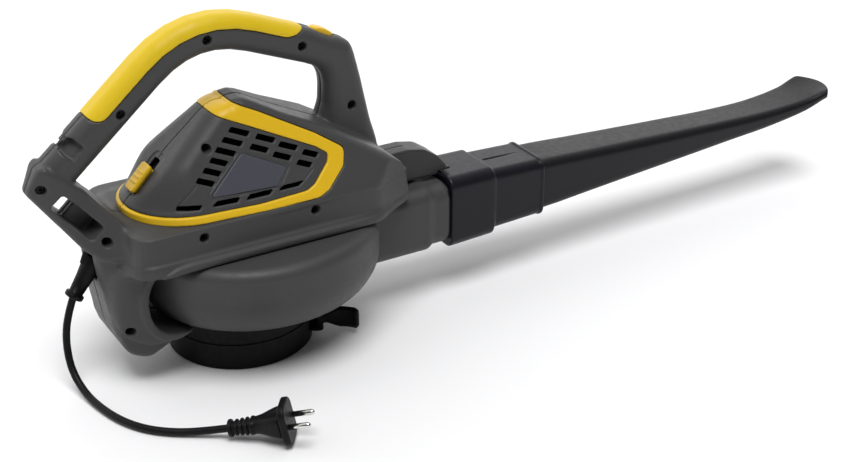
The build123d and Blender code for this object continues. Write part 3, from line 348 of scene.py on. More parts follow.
def plastic(name, colour, rough, grain=1400.0, bump=0.12, mottle=0.06, wear=0.25, gloss=0.25, metal=0.0):
    """Moulded material: spark-eroded grain in the bump, uneven gloss, paler rubbed edges."""
    material = bpy.data.materials.new(name)
    material.use_nodes = True
    nodes, links = material.node_tree.nodes, material.node_tree.links
    shader = nodes["Principled BSDF"]
    shader.inputs["Metallic"].default_value = metal
    shader.inputs["Specular IOR Level"].default_value = gloss
    place = nodes.new("ShaderNodeTexCoord")

    def noise(scale, detail):
        node = nodes.new("ShaderNodeTexNoise")
        node.inputs["Scale"].default_value = scale
        node.inputs["Detail"].default_value = detail
        links.new(place.outputs["Object"], node.inputs["Vector"])
        return node

    def spread(source, low, high, to_low, to_high):
        node = nodes.new("ShaderNodeMapRange")
        for key, value in zip(("From Min", "From Max", "To Min", "To Max"), (low, high, to_low, to_high)):
            node.inputs[key].default_value = value
        links.new(source, node.inputs["Value"])
        return node.outputs["Result"]

    clouds = noise(28, 4)
    fine = noise(grain, 2)
    rubs = noise(190, 5)
    edge = nodes.new("ShaderNodeNewGeometry")
    worn = spread(edge.outputs["Pointiness"], 0.51, 0.60, 0.0, wear)
    broken = nodes.new("ShaderNodeMath")
    broken.operation = "MULTIPLY"
    links.new(worn, broken.inputs[0])
    links.new(spread(rubs.outputs["Fac"], 0.4, 0.65, 0.35, 1.0), broken.inputs[1])

    tint = nodes.new("ShaderNodeMix")
    tint.data_type = "RGBA"
    tint.inputs["A"].default_value = (*[c * (1 - mottle) for c in colour], 1)
    tint.inputs["B"].default_value = (*[min(1, c * (1 + mottle)) for c in colour], 1)
    links.new(clouds.outputs["Fac"], tint.inputs["Factor"])
    pale = nodes.new("ShaderNodeMix")
    pale.data_type = "RGBA"
    pale.inputs["B"].default_value = (*[min(1, c * 1.6 + 0.03) for c in colour], 1)
    links.new(broken.outputs["Value"], pale.inputs["Factor"])
    links.new(tint.outputs["Result"], pale.inputs["A"])
    links.new(pale.outputs["Result"], shader.inputs["Base Color"])
    links.new(spread(rubs.outputs["Fac"], 0.3, 0.7, rough - 0.05, rough + 0.06), shader.inputs["Roughness"])
    relief = nodes.new("ShaderNodeBump")
    relief.inputs["Strength"].default_value = bump
    relief.inputs["Distance"].default_value = 0.0003
    links.new(fine.outputs["Fac"], relief.inputs["Height"])
    links.new(relief.outputs["Normal"], shader.inputs["Normal"])
    return material


def brushed(name, colour, rough, along=(1, 1, 60), bump=0.1):
    """Machined or drawn metal, with fine lines one way."""
    material = plastic(name, colour, rough, 900, bump, 0.05, 0.15, 0.5, 1.0)
    nodes, links = material.node_tree.nodes, material.node_tree.links
    stretch = nodes.new("ShaderNodeMapping")
    stretch.inputs["Scale"].default_value = along
    place = next(n for n in nodes if n.type == "TEX_COORD")
    links.new(place.outputs["Object"], stretch.inputs["Vector"])
    for node in nodes:
        if node.type == "TEX_NOISE" and node.inputs["Scale"].default_value > 800:
            links.new(stretch.outputs["Vector"], node.inputs["Vector"])
    return material


BODY = plastic("body_grey_plastic", (0.052, 0.052, 0.052), 0.46, 1500, 0.14, gloss=0.3)
YELLOW = plastic("trim_yellow_plastic", (0.74, 0.46, 0.016), 0.34, 1500, 0.08, 0.03, 0.12)
GRIP = plastic("grip_yellow_rubber", (0.70, 0.49, 0.013), 0.44, 1100, 0.16, 0.04, 0.12)
BADGE = plastic("badge_satin_plate", (0.070, 0.070, 0.088), 0.34, 2000, 0.05, 0.05, 0.2)
TUBE = plastic("tube_blue_black_plastic", (0.008, 0.008, 0.012), 0.34, 1500, 0.10, 0.07, 0.2, 0.22)
NOZZLE = plastic("nozzle_black_plastic", (0.009, 0.009, 0.011), 0.38, 1500, 0.12, 0.07, 0.2, 0.22)
RING = plastic("ring_black_plastic", (0.003, 0.003, 0.0035), 0.42, 1500, 0.12, 0.07, 0.2, 0.1)
LEVER = plastic("lever_dark_plastic", (0.034, 0.034, 0.034), 0.40, 1500, 0.10)
RUBBER = plastic("cord_rubber", (0.006, 0.006, 0.0065), 0.42, 900, 0.2, 0.08, 0.15, 0.14)
SWITCH = plastic("switch_nylon", (0.02, 0.02, 0.021), 0.45, 1200, 0.12)
# painted shade: a near-black matt sheet standing in for the shade inside the cover behind its slots
SHADE_SHEET_BLACK = plastic("air_screen_foam", (0.002, 0.002, 0.002), 0.8, 500, 0.3, gloss=0.0)
IMPELLER = plastic("impeller_glass_nylon", (0.05, 0.05, 0.052), 0.5, 700, 0.2)
BOARD = plastic("board_epoxy", (0.012, 0.10, 0.035), 0.35, 500, 0.1)
STEEL = brushed("turned_steel", (0.55, 0.55, 0.56), 0.28)
DARK_STEEL = brushed("blackened_steel", (0.012, 0.012, 0.013), 0.42)
CORE = brushed("stacked_laminations", (0.22, 0.22, 0.23), 0.45, (1, 1, 1200), 0.5)
COPPER = brushed("enamelled_copper_wire", (0.60, 0.24, 0.09), 0.32, (1, 1, 700), 0.6)
BRASS = brushed("brass_sheet", (0.72, 0.50, 0.20), 0.3)
ALLOY = plastic("cast_zinc_alloy", (0.42, 0.42, 0.43), 0.5, 600, 0.3, gloss=0.5, metal=1.0)
CARBON = plastic("pressed_carbon", (0.018, 0.018, 0.018), 0.6, 900, 0.3)
NICKEL = brushed("nickel_plated_pin", (0.74, 0.73, 0.70), 0.18, (1, 1, 1), 0.05)
BY_SLOT = {
    "body_grey": BODY, "trim_yellow": YELLOW, "badge_grey": BADGE, "tube_black": TUBE, "ring_black": RING,
    "steel": STEEL, "black_steel": DARK_STEEL, "lamination": CORE, "copper": COPPER, "brass": BRASS,
    "carbon": CARBON, "cast_alloy": ALLOY, "impeller_nylon": IMPELLER, "switch_black": SWITCH,
    "board_green": BOARD, "cord_rubber": RUBBER, "pin_nickel": NICKEL,
}


# ------------------------------------------------------------ fan housing

DUCT_Z = 80                                # middle height of the outlet and the tubes
SCROLL_FOOT, SCROLL_TOP = 48, 112
SCROLL_WALL = 3.2
HALF_CUT, HALF_ROUND = 0.12, 0.35          # where a moulded half stops short of y = 0, and its edge's radius


def half_of(d, b, side):
    """One moulded half of a shape, right for side 1 and left for side -1."""
    return both(d, side * b.y + HALF_CUT, HALF_ROUND)


def scroll_reach(angle):
    """The scroll wall's radius at an angle in degrees; it opens slowly, then quickly to the outlet."""
    angle = np.mod(angle - 120, 360) + 120
    turn = np.clip((angle - 120) / 210, 0, 1)
    back = np.clip((angle - 330) / 150, 0, 1)
    return 92 + 36 * np.where(angle <= 330, turn ** 3, (1 - back) ** 2)


def volute(b, grow=0.0):
    """The fan scroll with its outlet duct, grown by a clearance."""
    angle = np.degrees(np.arctan2(b.y, b.x))
    wall = (length(b.x, b.y) - scroll_reach(angle)).astype(np.float32)
    lean = 9.0 * np.clip((86 - b.z) / 30, 0, 1.3) ** 2
    scroll = both(wall + lean - grow, b.z - SCROLL_TOP - grow, 11)
    scroll = both(scroll, SCROLL_FOOT - b.z - grow, 6)
    side = box2(b.y, b.z - DUCT_Z, 36 + grow, 32 + grow, 13)
    duct = both(side, np.maximum(b.x - 186 - grow, -b.x), 7)
    return merge(scroll, duct, 5)


def volute_field(side):
    def field(b):
        d = volute(b)
        collar = both(box2(b.y, b.z - DUCT_Z, 33, 31, 16), np.abs(b.x - 190) - 14, 1.2)
        d = merge(d, collar, 5)
        inner = volute(b, -SCROLL_WALL)
        bore = both(box2(b.y, b.z - DUCT_Z, 30.5, 28.5, 14), np.abs(b.x - 190) - 20, 0.1)
        d = carve(d, np.minimum(inner, bore), 0.3)
        d = carve(d, both(length(b.x, b.y) - 50, np.abs(b.z - SCROLL_FOOT) - 6), 0.3)
        d = carve(d, both(length(b.x, b.y) - 34, np.abs(b.z - SCROLL_TOP) - 6), 0.3)
        return half_of(d, b, side)
    return field


# ------------------------------------------------------------ frame

EYE = rounded([(-102, 47, 32), (190, 47), (190, 112.3), (-102, 112.3, 32)])
POST_SIDE = rounded([
    (-137, 142), (-134.5, 115, 20), (-131, 85, 30), (-126, 50, 20), (-119, 30, 14), (-104, 26.5, 12), (-84, 36, 20),
    (-60, 47.5), (-60, 142),
])
POST_PLAN = rounded([
    (-139, -17, 8), (-123, -35, 14), (-100, -45, 14), (-50, -46), (-50, 46), (-100, 45, 14), (-123, 35, 14),
    (-139, 17, 8),
])
ARM_SIDE = rounded([
    (-181.3, 184.5, 6), (-171.5, 204.5, 4), (-166, 208, 4), (-137, 184, 6), (-127, 171, 14), (-110, 151, 16),
    (-98, 142, 10), (-98, 124, 4), (-133, 124, 4), (-145, 134, 14),
])
RIM = rounded([(-129, 40, 36), (230, 40), (230, 124), (-129, 124, 30)])
BEAM_PLAN = rounded([
    (-113.5, -64, 20), (112, -64, 26), (160, -37, 7), (160, 37, 7), (112, 64, 26), (-113.5, 64, 20),
])
HANDLE = rounded([(-152, 198), (-29, 304.2, 92), (104.5, 253.2, 50), (118, 160)])[:-1] + [np.array((120.5, 150.0))]
COLUMN = rounded([
    (104, 258, 4), (103, 236, 20), (94, 206, 16), (84, 192, 4), (76, 172, 2), (150, 150, 2), (139, 160, 16),
    (128, 184, 30), (113, 236, 20), (112, 258, 4),
])
BAND_INNER = rounded([
    (-135, 154), (-40, 153.8, 40), (0, 153.4, 30), (44, 156, 8), (52, 159.5, 6), (68, 174, 5), (70.5, 180.5, 4),
    (60, 188), (8.5, 212, 40), (-19.5, 224.5, 20), (-24, 228), (-24, 280), (-135, 280),
])
BAND_OUTER = rounded([
    (-135, 147), (-4, 147.2, 40), (54, 149, 8), (64, 153, 4), (82, 168.5, 6), (86.5, 182, 6), (62.5, 198),
    (16.5, 222.7, 30), (-6, 233, 6), (-6.5, 280), (-135, 280),
])
ROOF = rounded([
    (-160, 60), (-160, 229, 5), (-20, 229.5, 8), (-5, 230, 1), (-3.5, 232.3, 2), (7, 233, 6), (14, 230.5, 10),
    (41, 216, 30), (84, 195.5, 20), (126, 169, 20), (143.5, 155.5, 6), (152, 144, 3), (157.5, 116), (157.5, 60),
])
SCREW_WELLS = [
    (-170, 189), (-127, 140), (-54, 138), (49, 138), (-117, 56), (-99, 240), (-20, 289), (66, 268), (112, 205),
]
COVER_WELL = (-34, 201.7)
NOSE = (-82, 173.75, 46.06)                # the selector's place on the nose, and the slope's angle
BUTTON = (91, 272.5, -25.15)               # the speed button's place on the handle, and its slope
WELL_R = 4.1
GRIP_START, GRIP_STOP = -118, 65           # where the soft grip begins and ends, in x
BAR_N, BAR_Y = 15.5, 16                    # the handle bar's half height and half width
POD_WALL = 2.6
POD_FOOT = 147.6                           # lower edge of the cover and the band


def pod(b, grow=0.0):
    """Motor cover and front hump: a wedge that narrows to its crest, with a round nose."""
    half = 68 - 0.488 * (b.z - 140) + 1.1 * grow - 7 * smooth(-b.x, -60, 80)
    nose = -101 + 0.964 * np.maximum(b.z - 153, 0) + 8.3 * smooth(b.z, 185, 235) - 1.3 * grow
    bend = 16 + 40 * (1 - smooth(b.z, 150, 192))
    bend = np.minimum(bend, np.maximum(half, 4))
    sides = both(nose - b.x, np.abs(b.y) - half, bend) * 0.84
    return both(sides, outline(b.x, b.z, ROOF) - grow, 7)


def handle_places(b):
    return along_path(b.x, b.z, HANDLE)


def handle_bar(b, grow=0.0):
    """The handle loop's rounded bar."""
    off = handle_places(b)[1]
    return both(np.abs(off) - BAR_N - grow, np.abs(b.y) - BAR_Y - grow, 12.5)


def path_place(x):
    """How far along the handle's path it passes x, on the way up and over."""
    run = 0.0
    for a, c in zip(HANDLE, HANDLE[1:]):
        size = float(np.linalg.norm(c - a))
        if a[0] <= x <= c[0]:
            return run + size * (x - a[0]) / (c[0] - a[0])
        run += size
    return run


def grip_region(b, grow=0.0):
    """Where the soft grip lies on the handle, as a rounded patch of its side view."""
    along, off = handle_places(b)
    low, high = path_place(GRIP_START), path_place(GRIP_STOP)
    low, high = low + 3.5, high - 0.75 * np.clip(15 - off, 0, 14)
    return box2(along - (low + high) / 2, off - 24.8, (high - low) / 2 + grow, 20 + grow, 11)


def wells(b, places):
    d = 1e9
    for x, z in places:
        d = np.minimum(d, length(b.x - x, b.z - z) - WELL_R)
    return np.maximum(d, b.y + 8)


def frame_field(side):
    def field(b):
        eye = outline(b.x, b.z, EYE)
        roll = np.clip(-outline(b.x, b.z, RIM) / 10, 0, 1)
        rim = 4.0 * np.sqrt(1 - (1 - roll) ** 2) * (1 - smooth(b.x, 80, 140))
        rim = rim + 2.6 * smooth(-eye, -8.5, -6) * (1 - 0.4 * smooth(b.x, 90, 140))
        front = outline(b.x, b.z, ROOF)
        plan = outline(b.x, b.y, BEAM_PLAN)
        beam = both(both(plan - rim, front, 1.2), np.abs(b.z - 129.7) - 17.5, 1.8)
        post_plan = outline(b.x, b.y, POST_PLAN) - rim
        post = both(outline(b.x, b.z, POST_SIDE), post_plan, 5)
        down_arm = (b.x + 176) * 0.764 - (b.z - 200) * 0.645
        flare = 1.5 * smooth(down_arm, 0, 40) + 0.5 * np.maximum(down_arm - 45, 0)
        arm_half = 17.5 - 9 * smooth(-b.x, 158, 184) + flare
        arm = both(outline(b.x, b.z, ARM_SIDE), (np.abs(b.y) - arm_half) * 0.9, 4)
        d = merge(merge(beam, post, 12), arm, 5)
        hump = both(pod(b, 0.2), -outline(b.x, b.z, BAND_OUTER) + GAP, 0.8)
        hump = both(np.maximum(hump, 144 - b.z), plan - 0.5, 1.5)
        d = merge(d, hump, 2.5)
        thin = 2.2 * smooth(b.x, 72, 105)
        loop = merge(np.abs(handle_places(b)[1]) - BAR_N + thin, outline(b.x, b.z, COLUMN), 26)
        bar = both(loop, np.abs(b.y) - BAR_Y, 12)
        bar = np.minimum(both(bar, -grip_region(b, GAP), 0.8), handle_bar(b, -3.4))
        d = merge(d, bar, 3)
        # room for the scroll, the intake ring, the motor and the pod's inside
        d = carve(d, eye, 2.2)
        d = carve(d, both(length(b.x, b.y) - 66.2, b.z - 50), 1)
        d = carve(d, volute(b, 0.3), 0.3)
        d = carve(d, both(length(b.x, b.y) - 45, np.abs(b.z - 129) - 21), 0.3)
        d = carve(d, both(both(pod(b, -POD_WALL), 147 - b.z), plan + 2.5), 0.3)
        d = carve(d, wells(b, SCREW_WELLS), 0.7)
        # the arm's cable slot, the cord's window, the strap recess, the button's and the lever's pockets
        u, v = turned(b.x, b.z, -146.2, 162.3, -48)
        d = carve(d, np.maximum(box2(u, v, 21, 7.5, 3), np.minimum(u + 3, 6 - np.abs(b.y))), 1.4)
        d = carve(d, both(box2(b.x + 139, b.z - 115, 20, 18.5, 6), np.abs(b.y) - 12, 4), 2)
        u, v = turned(b.x, b.z, -141.5, 218, 41)
        scoop = 1.0 + 11 * smooth(-v, -4, 6)
        d = carve(d, both(box2(u, v, 7.5, 6.5, 3.5), scoop - np.abs(b.y), 1), 1)
        u, v = turned(b.x, b.z, *BUTTON)
        d = carve(d, both(length(np.maximum(np.abs(u) - 5.5, 0), b.y) - 6.9, -v - 12, 0.2), 0.5)
        d = carve(d, both(np.abs(b.x - 156) - 17, np.abs(b.y) - 13.4, 1), 0.8)
        return half_of(d, b, side)
    return field


# ------------------------------------------------------------ motor cover, band and badge

def bar_slot(middle, span):
    """Corners of one slanting slot in the side view, about its middle."""
    run = np.array((0.93, -0.37)) * span / 2
    lean = np.array((-1.6, -1.6))
    return [middle - run - lean, middle + run - lean, middle + run + lean, middle - run + lean]


SLOTS = [bar_slot(np.array((-3.2 - 7.7 * step, 209.9 - 6.5 * step)), 16 if step < 3 else 14) for step in range(6)]
for row, start in ((15.4, (18.0, 201.3)), (14.6, (10.6, 194.7))):
    for step in range(3):
        SLOTS.append(bar_slot(np.array(start) + step * np.array((18.2, -9.1)), row - 2.4 * (step // 2)))
SLOTS.append([np.array(p) for p in ((-67.9, 161.9), (-48.8, 161.3), (-51.5, 158.2), (-69.6, 158.6))])
SLOTS.append([np.array(p) for p in ((-35.5, 161.8), (-15.5, 161.4), (-18.8, 158.2), (-40.8, 158.5))])
SLOTS.append([np.array(p) for p in ((-6.5, 161.6), (14.2, 162.2), (10.1, 159.0), (-11.2, 158.4))])
SLOTS.append([np.array(p) for p in ((23.6, 163.3), (43.0, 164.1), (37.4, 160.9), (18.6, 160.2))])
PANEL_LINES = [((-51.0, 176.0), (-66.5, 163.3)), ((53.2, 171.4), (43.5, 164.5))]
BADGE_FRAME = rounded([
    (-8.3, 195.0), (-3.1, 194.6), (33.7, 178.4), (20.4, 162.9), (-41.5, 163.8), (-41.5, 168.5),
], 2.5)
BADGE_PLATE = rounded([(-7.0, 193.2), (-3.6, 192.9), (30.6, 177.2), (18.8, 164.5), (-38.2, 165.2), (-38.6, 167)], 2)


def cover_field(side):
    def field(b):
        patch = outline(b.x, b.z, BAND_INNER) + GAP
        d = both(both(pod(b), patch, 0.8), POD_FOOT - b.z, 0.3)
        d = carve(d, pod(b, -POD_WALL), 0.2)
        boss = both(both(length(b.x - COVER_WELL[0], b.z - COVER_WELL[1]) - 6.5, pod(b, -1), 0.2), 12 - np.abs(b.y))
        d = np.minimum(d, boss)
        gaps = 1e9
        for corners in SLOTS:
            gaps = np.minimum(gaps, outline(b.x, b.z, rounded(corners, 0.5)) - 0.3)
        d = carve(d, gaps, 0.4)
        line = 1e9
        for a, c in PANEL_LINES:
            off = along_path(b.x, b.z, [np.array(a), np.array(c)])
            line = np.minimum(line, np.abs(off[1]) - 0.6)
        skin_depth = pod(b, -0.8)
        d = carve(d, both(line, -skin_depth), 0.1)
        frame_line = np.abs(outline(b.x, b.z, BADGE_FRAME)) - 0.6
        d = carve(d, both(frame_line, -skin_depth), 0.1)
        seat = both(outline(b.x, b.z, BADGE_PLATE) - 0.5, -pod(b, -1.0))
        d = carve(d, seat, 0.1)
        d = carve(d, wells(b, [COVER_WELL]), 0.7)
        u, v = turned(b.x, b.z, *NOSE)
        slot = both(box2(u - 4.5, b.y, 17.5, 5.3, 2), np.abs(v) - 12, 0.1)
        d = carve(d, slot, 0.5)
        dish = both(both(box2(u - 6, b.y, 22, 9.5, 7), -pod(b, -1.0)), -v - 10)
        d = carve(d, dish, 0.5)
        return both(d, side * b.y + 0.15, 0.45)
    return field


def shade_sheet_field(side):
    """A black sheet a few millimetres behind the slots, painted shade for the dark inside seen through them."""
    def field(b):
        d = both(pod(b, -5), -pod(b, -9), 0.2)
        d = both(d, 153 - b.z, 0.2)
        d = carve(d, length(b.x - COVER_WELL[0], b.z - COVER_WELL[1]) - 6.5)
        u, v = turned(b.x, b.z, *NOSE)
        d = carve(d, box2(u - 4.5, b.y, 21, 9, 2))
        return both(d, side * b.y + 0.12)
    return field


def band_field(side):
    def field(b):
        ring = carve(outline(b.x, b.z, BAND_OUTER), outline(b.x, b.z, BAND_INNER))
        d = both(pod(b, 0.75), ring, 1.0)
        d = carve(d, pod(b, -2.4), 0.2)
        d = both(d, POD_FOOT - b.z, 0.5)
        return both(d, side * b.y + 0.15, 0.35)
    return field


def badge_field(side):
    """The plate on either side; the block it is sampled in picks the side."""
    def field(b):
        return both(both(outline(b.x, b.z, BADGE_PLATE), pod(b, 0.35), 0.8), -pod(b, -1.7), 0.1)
    return field


# ------------------------------------------------------------ grip, buttons, lever, latch

def grip_field(b):
    d = both(handle_bar(b, 0.4), grip_region(b), 0.9)
    return carve(d, handle_bar(b, -3), 0.1)


def lever_field(b):
    side = rounded([
        (140.6, 116), (140.6, 147, 1.5), (172, 147, 14), (190, 143.5, 20), (204, 134, 12), (213, 123.5, 3),
        (213, 118.7, 1), (204, 118.7, 1), (203, 115.2, 1), (146, 115.2),
    ])
    d = both(outline(b.x, b.z, side), np.abs(b.y) - 12.9, 2.2)
    hollow = rounded([(166, 110), (166, 142), (180, 142), (197, 135), (206, 124), (206, 110)])
    d = carve(d, both(outline(b.x, b.z, hollow), np.abs(b.y) - 10.4), 0.3)
    tip = both(np.abs(b.x - 207) - 10, both(np.abs(b.y) - 12.9, np.abs(b.z - 119.8) - 1.2, 0.5), 0.5)
    ridge = both(np.abs(b.y) - 0.5, np.abs(b.x - 168) - 19, 0.2)
    d = carve(d, both(ridge, 146.3 - b.z), 0.2)
    return np.minimum(d, tip)


def slide_field(b):
    u, v = turned(b.x, b.z, *NOSE)
    cap = both(box2(u, b.y, 13.5, 8, 3), np.abs(v - 2.4) - 2.05, 1.4)
    for at in (-5, 0, 5):
        cap = merge(cap, both(box2(u - at, b.y, 0.9, 5.6, 0.8), np.abs(v - 4) - 1.4, 0.5), 0.6)
    stem = both(box2(u, b.y, 12, 4.8, 0.5), np.abs(v + 1.2) - 1.8, 0.2)
    keeper = both(box2(u, b.y, 12, 7, 0.5), np.abs(v + 3.65) - 0.8, 0.2)
    return np.minimum(np.minimum(cap, stem), keeper)


def button_field(b):
    u, v = turned(b.x, b.z, *BUTTON)
    dome = 4.0 - 0.016 * u * u
    oval = length(np.maximum(np.abs(u) - 5.5, 0), b.y) - 6.4
    d = both(both(oval, v - dome, 1.8), -v - 8, 0.3)
    return d


def latch_field(b):
    u, v = turned(b.x, b.y, 0, 0, -33)
    hub = both(length(u - 71, v) - 4.5, np.abs(b.z - 13) - 4.6, 0.5)
    nose = both(box2(u - 65.5, v, 5.5, 2.5, 0.8), np.abs(b.z - 13) - 4.6, 0.4)
    tall = 4.6 + 6.6 * smooth(u, 74, 92)
    bent = v - 4 + 0.016 * (u - 92) ** 2
    blade = both(both(np.abs(bent) - 2.6, np.abs(u - 90) - 17.4, 2), (np.abs(b.z - 15.8) - tall) * 0.9, 4.5)
    rim = both(length(u - 106, v - 1.2) - 2.6, np.abs(b.z - 15.8) - 8.5, 2)
    d = merge(merge(np.minimum(hub, nose), blade, 3), rim, 2)
    return carve(d, length(u - 71, v) - 1.8, 0.1)


# ------------------------------------------------------------ tubes

def flow(x, stations):
    """Smooth values of each column of the stations at x; the first column is x itself."""
    table = np.array(stations, float)
    at = table[:, 0]
    found = []
    for column in table[:, 1:].T:
        slope = np.gradient(column, at)
        i = np.clip(np.searchsorted(at, x) - 1, 0, len(at) - 2)
        span = at[i + 1] - at[i]
        t = np.clip((x - at[i]) / span, 0, 1)
        value = ((2 * t ** 3 - 3 * t ** 2 + 1) * column[i] + (t ** 3 - 2 * t ** 2 + t) * span * slope[i]
                 + (-2 * t ** 3 + 3 * t ** 2) * column[i + 1] + (t ** 3 - t ** 2) * span * slope[i + 1])
        found.append(value.astype(np.float32))
    return found


# the nozzle's stations: x, middle height, width, height, corner radius
NOZZLE_LINE = [
    (288, 81.5, 55.6, 53.2, 9), (320, 81.6, 55.2, 52, 9), (380, 82, 53.2, 45, 9), (440, 82.5, 51, 38, 9),
    (500, 83.1, 48.8, 31, 8.5), (560, 84, 47, 24, 8), (620, 86.5, 48, 18, 7), (660, 91.5, 51, 14, 6),
    (704, 101, 55, 10, 4.9),
]


def nozzle_ring(x, inset):
    """One rounded-rectangle ring of the nozzle; near the mouth it bows with the end's arc."""
    middle, wide, high, corner = (float(c[0]) for c in flow(np.array([x], float), NOZZLE_LINE))
    wide, high = wide / 2 - inset, high / 2 - inset
    corner = max(corner - inset, 1.2)
    corner = min(corner, high - 0.05)
    points = []
    for quarter, (sy, sz) in enumerate(((1, 1), (-1, 1), (-1, -1), (1, -1))):
        for a in np.radians(np.linspace(0, 90, 9) + 90 * quarter):
            y0, z0 = sy * (wide - corner), sz * (high - corner)
            points.append((y0 + corner * math.cos(a), z0 + corner * math.sin(a)))
        y0, z0 = points[-1]
        y1, z1 = ((-(wide - corner), z0), (y0, -(high - corner)), (wide - corner, z0), (y0, high - corner))[quarter]
        for t in np.linspace(0, 1, 12)[1:-1]:
            points.append((y0 + (y1 - y0) * t, z0 + (z1 - z0) * t))
    y, z = np.array(points).T
    bow = 0.017 * smooth(x, 660, 704.3)
    return np.stack([x - bow * y * y, y, z + middle], 1)


def make_nozzle():
    """The flat nozzle: outer and inner walls of rings, closed at both ends."""
    outer = [(288.5, 0.7), (288.7, 0.25), (289.3, 0)] + [(float(x), 0) for x in np.linspace(292, 702, 83)]
    outer += [(703.1, 0), (703.7, 0.2), (703.9, 0.7)]
    inner = [(703.9, 1.4), (703.5, 1.9)] + [(float(x), 2) for x in np.linspace(702, 289.5, 60)] + [(288.5, 1.6)]
    rings = [nozzle_ring(*place) for place in outer + inner]
    faces = ring_faces(len(rings), len(rings[0]), closed=True)
    return add_mesh("flat_nozzle", np.concatenate(rings), faces[:, ::-1])


def rear_tube_field(b):
    sleeve = both(box2(b.y, b.z - 80 - 0.01 * (b.x - 206), 34 - 0.016 * (b.x - 206), 36 - 0.02 * (b.x - 206), 11.5),
                  np.abs(b.x - 231) - 24.6, 1.6)
    neck_z = b.z - 81.2
    neck = both(box2(b.y, neck_z, 31 - 0.013 * (b.x - 258), 31 - 0.035 * (b.x - 258), 10),
                np.abs(b.x - 280) - 34, 0.5)
    bead = both(box2(b.y, neck_z, 31.2, 30.2, 10.5), np.abs(b.x - 312.2) - 1.7, 0.8)
    spigot = both(box2(b.y, b.z - 80, 30.15, 28.15, 14), np.abs(b.x - 198) - 11, 0.8)
    d = merge(merge(np.minimum(sleeve, spigot), neck, 3.5), bead, 0.5)
    spine = both(both(np.abs(b.y) - 1.2, np.abs(b.x - 282) - 20, 0.6), np.abs(b.z - 111.4) - 0.9, 0.3)
    d = carve(d, spine, 0.3)
    bore = box2(b.y, b.z - 80 - 0.013 * (b.x - 187), 28.1, 26.1, 12)
    wider = both(box2(b.y, b.z - 81.3, 28.1, 27.0, 12), 250 - b.x)
    return carve(d, np.minimum(bore, wider), 0.3)


# ------------------------------------------------------------ cord boot and plug

def stand(piece, direction, root):
    """Moves a piece made at the origin to root, in mm, its +Z along direction and +Y as upright as can be."""
    z = Vector(direction).normalized()
    x = Vector((0, 0, 1)).cross(z).normalized()
    y = z.cross(x)
    turn = Matrix((x, y, z)).transposed().to_4x4()
    piece.data.transform(Matrix.Translation([c * MM for c in root]) @ turn)


def plug_field(b):
    """Two-pin plug along +Z from the cord's end, in its own frame."""
    round_end = length(b.x, b.y)
    sleeve = both(round_end - 5.1 - 0.03 * b.z, np.abs(b.z - 14) - 14, 0.8)
    collar = both(round_end - 7.4, np.abs(b.z - 1.8) - 1.7, 1.2)
    d = merge(sleeve, collar, 0.6)
    for at in (7, 11.4, 15.8, 20.2):
        rib = both(box2(b.x, b.y, 6.2 + 0.1 * at, 5.6 + 0.03 * at, 4.5), np.abs(b.z - at) - 1.25, 0.9)
        d = merge(d, rib, 0.7)
    t = smooth(b.z, 20, 46)
    body = both(box2(b.x, b.y, 6.8 + 5.5 * t, 6.2 + 4.6 * t, 5.5), np.abs(b.z - 33) - 12.5, 2.5)
    d = merge(d, body, 3)
    for side in (-1, 1):
        dent = length(length(b.z - 35, b.x * 1.2), b.y - side * 19) - 11.6
        d = carve(d, dent, 1.5)
    flange = both(box2(b.x, b.y, 14.8, 18.2, 9), np.abs(b.z - 49) - 3, 1.6)
    return merge(d, flange, 1.2)


# ------------------------------------------------------------ build everything

cord = make_cord()
cord.data.materials.append(RUBBER)
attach(cord, "machine")
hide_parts("power_cord")

# Mirrored pieces: name, CAD node, x range, reach in y from inner to outer (right, then left), z range, pitch,
# field, material, slot. The right-hand half lies at negative y.
HALVES = [
    ("blower_frame", "housing", (-187, 164), (-1, 72, 72), (22, 310), COARSE, frame_field, BODY, "body_grey"),
    ("fan_scroll", "volute", (-108, 206), (-1, 122, 106), (46, 114), COARSE, volute_field, BODY, "body_grey"),
    ("motor_hood", "motor_cover", (-106, 74), (-1, 66, 66), (146, 238), MIDDLE, cover_field, BODY, "body_grey"),
    ("yellow_band", "trim_band", (-107, 90), (-1, 67, 67), (146, 241), MIDDLE, band_field, YELLOW, "trim_yellow"),
    ("plain_badge", "badge", (-44, 34), (36, 60, 60), (162, 198), FINE, badge_field, BADGE, "badge_grey"),
]
# a black sheet behind each cover's slots: painted shade for the dark inside, not a part of the machine
SHADE_SHEETS = [("air_screen", None, (-100, 84), (-1, 62, 62), (152, 230), COARSE, shade_sheet_field, SHADE_SHEET_BLACK, "ring_black")]
for group in (HALVES, SHADE_SHEETS):
    for hand, side in (("right", 1), ("left", -1)):
        for name, node, x_range, (inner, outer_right, outer_left), z_range, step, field, material, slot in group:
            y_range = (-outer_right, -inner) if side > 0 else (inner, outer_left)
            low, high = zip(x_range, y_range, z_range)
            piece = solid(name + "_" + hand, low, high, step, field(side))
            nodes = [node + "_" + hand] if node else []
            finish_piece(piece, material, slot, "machine", *nodes)

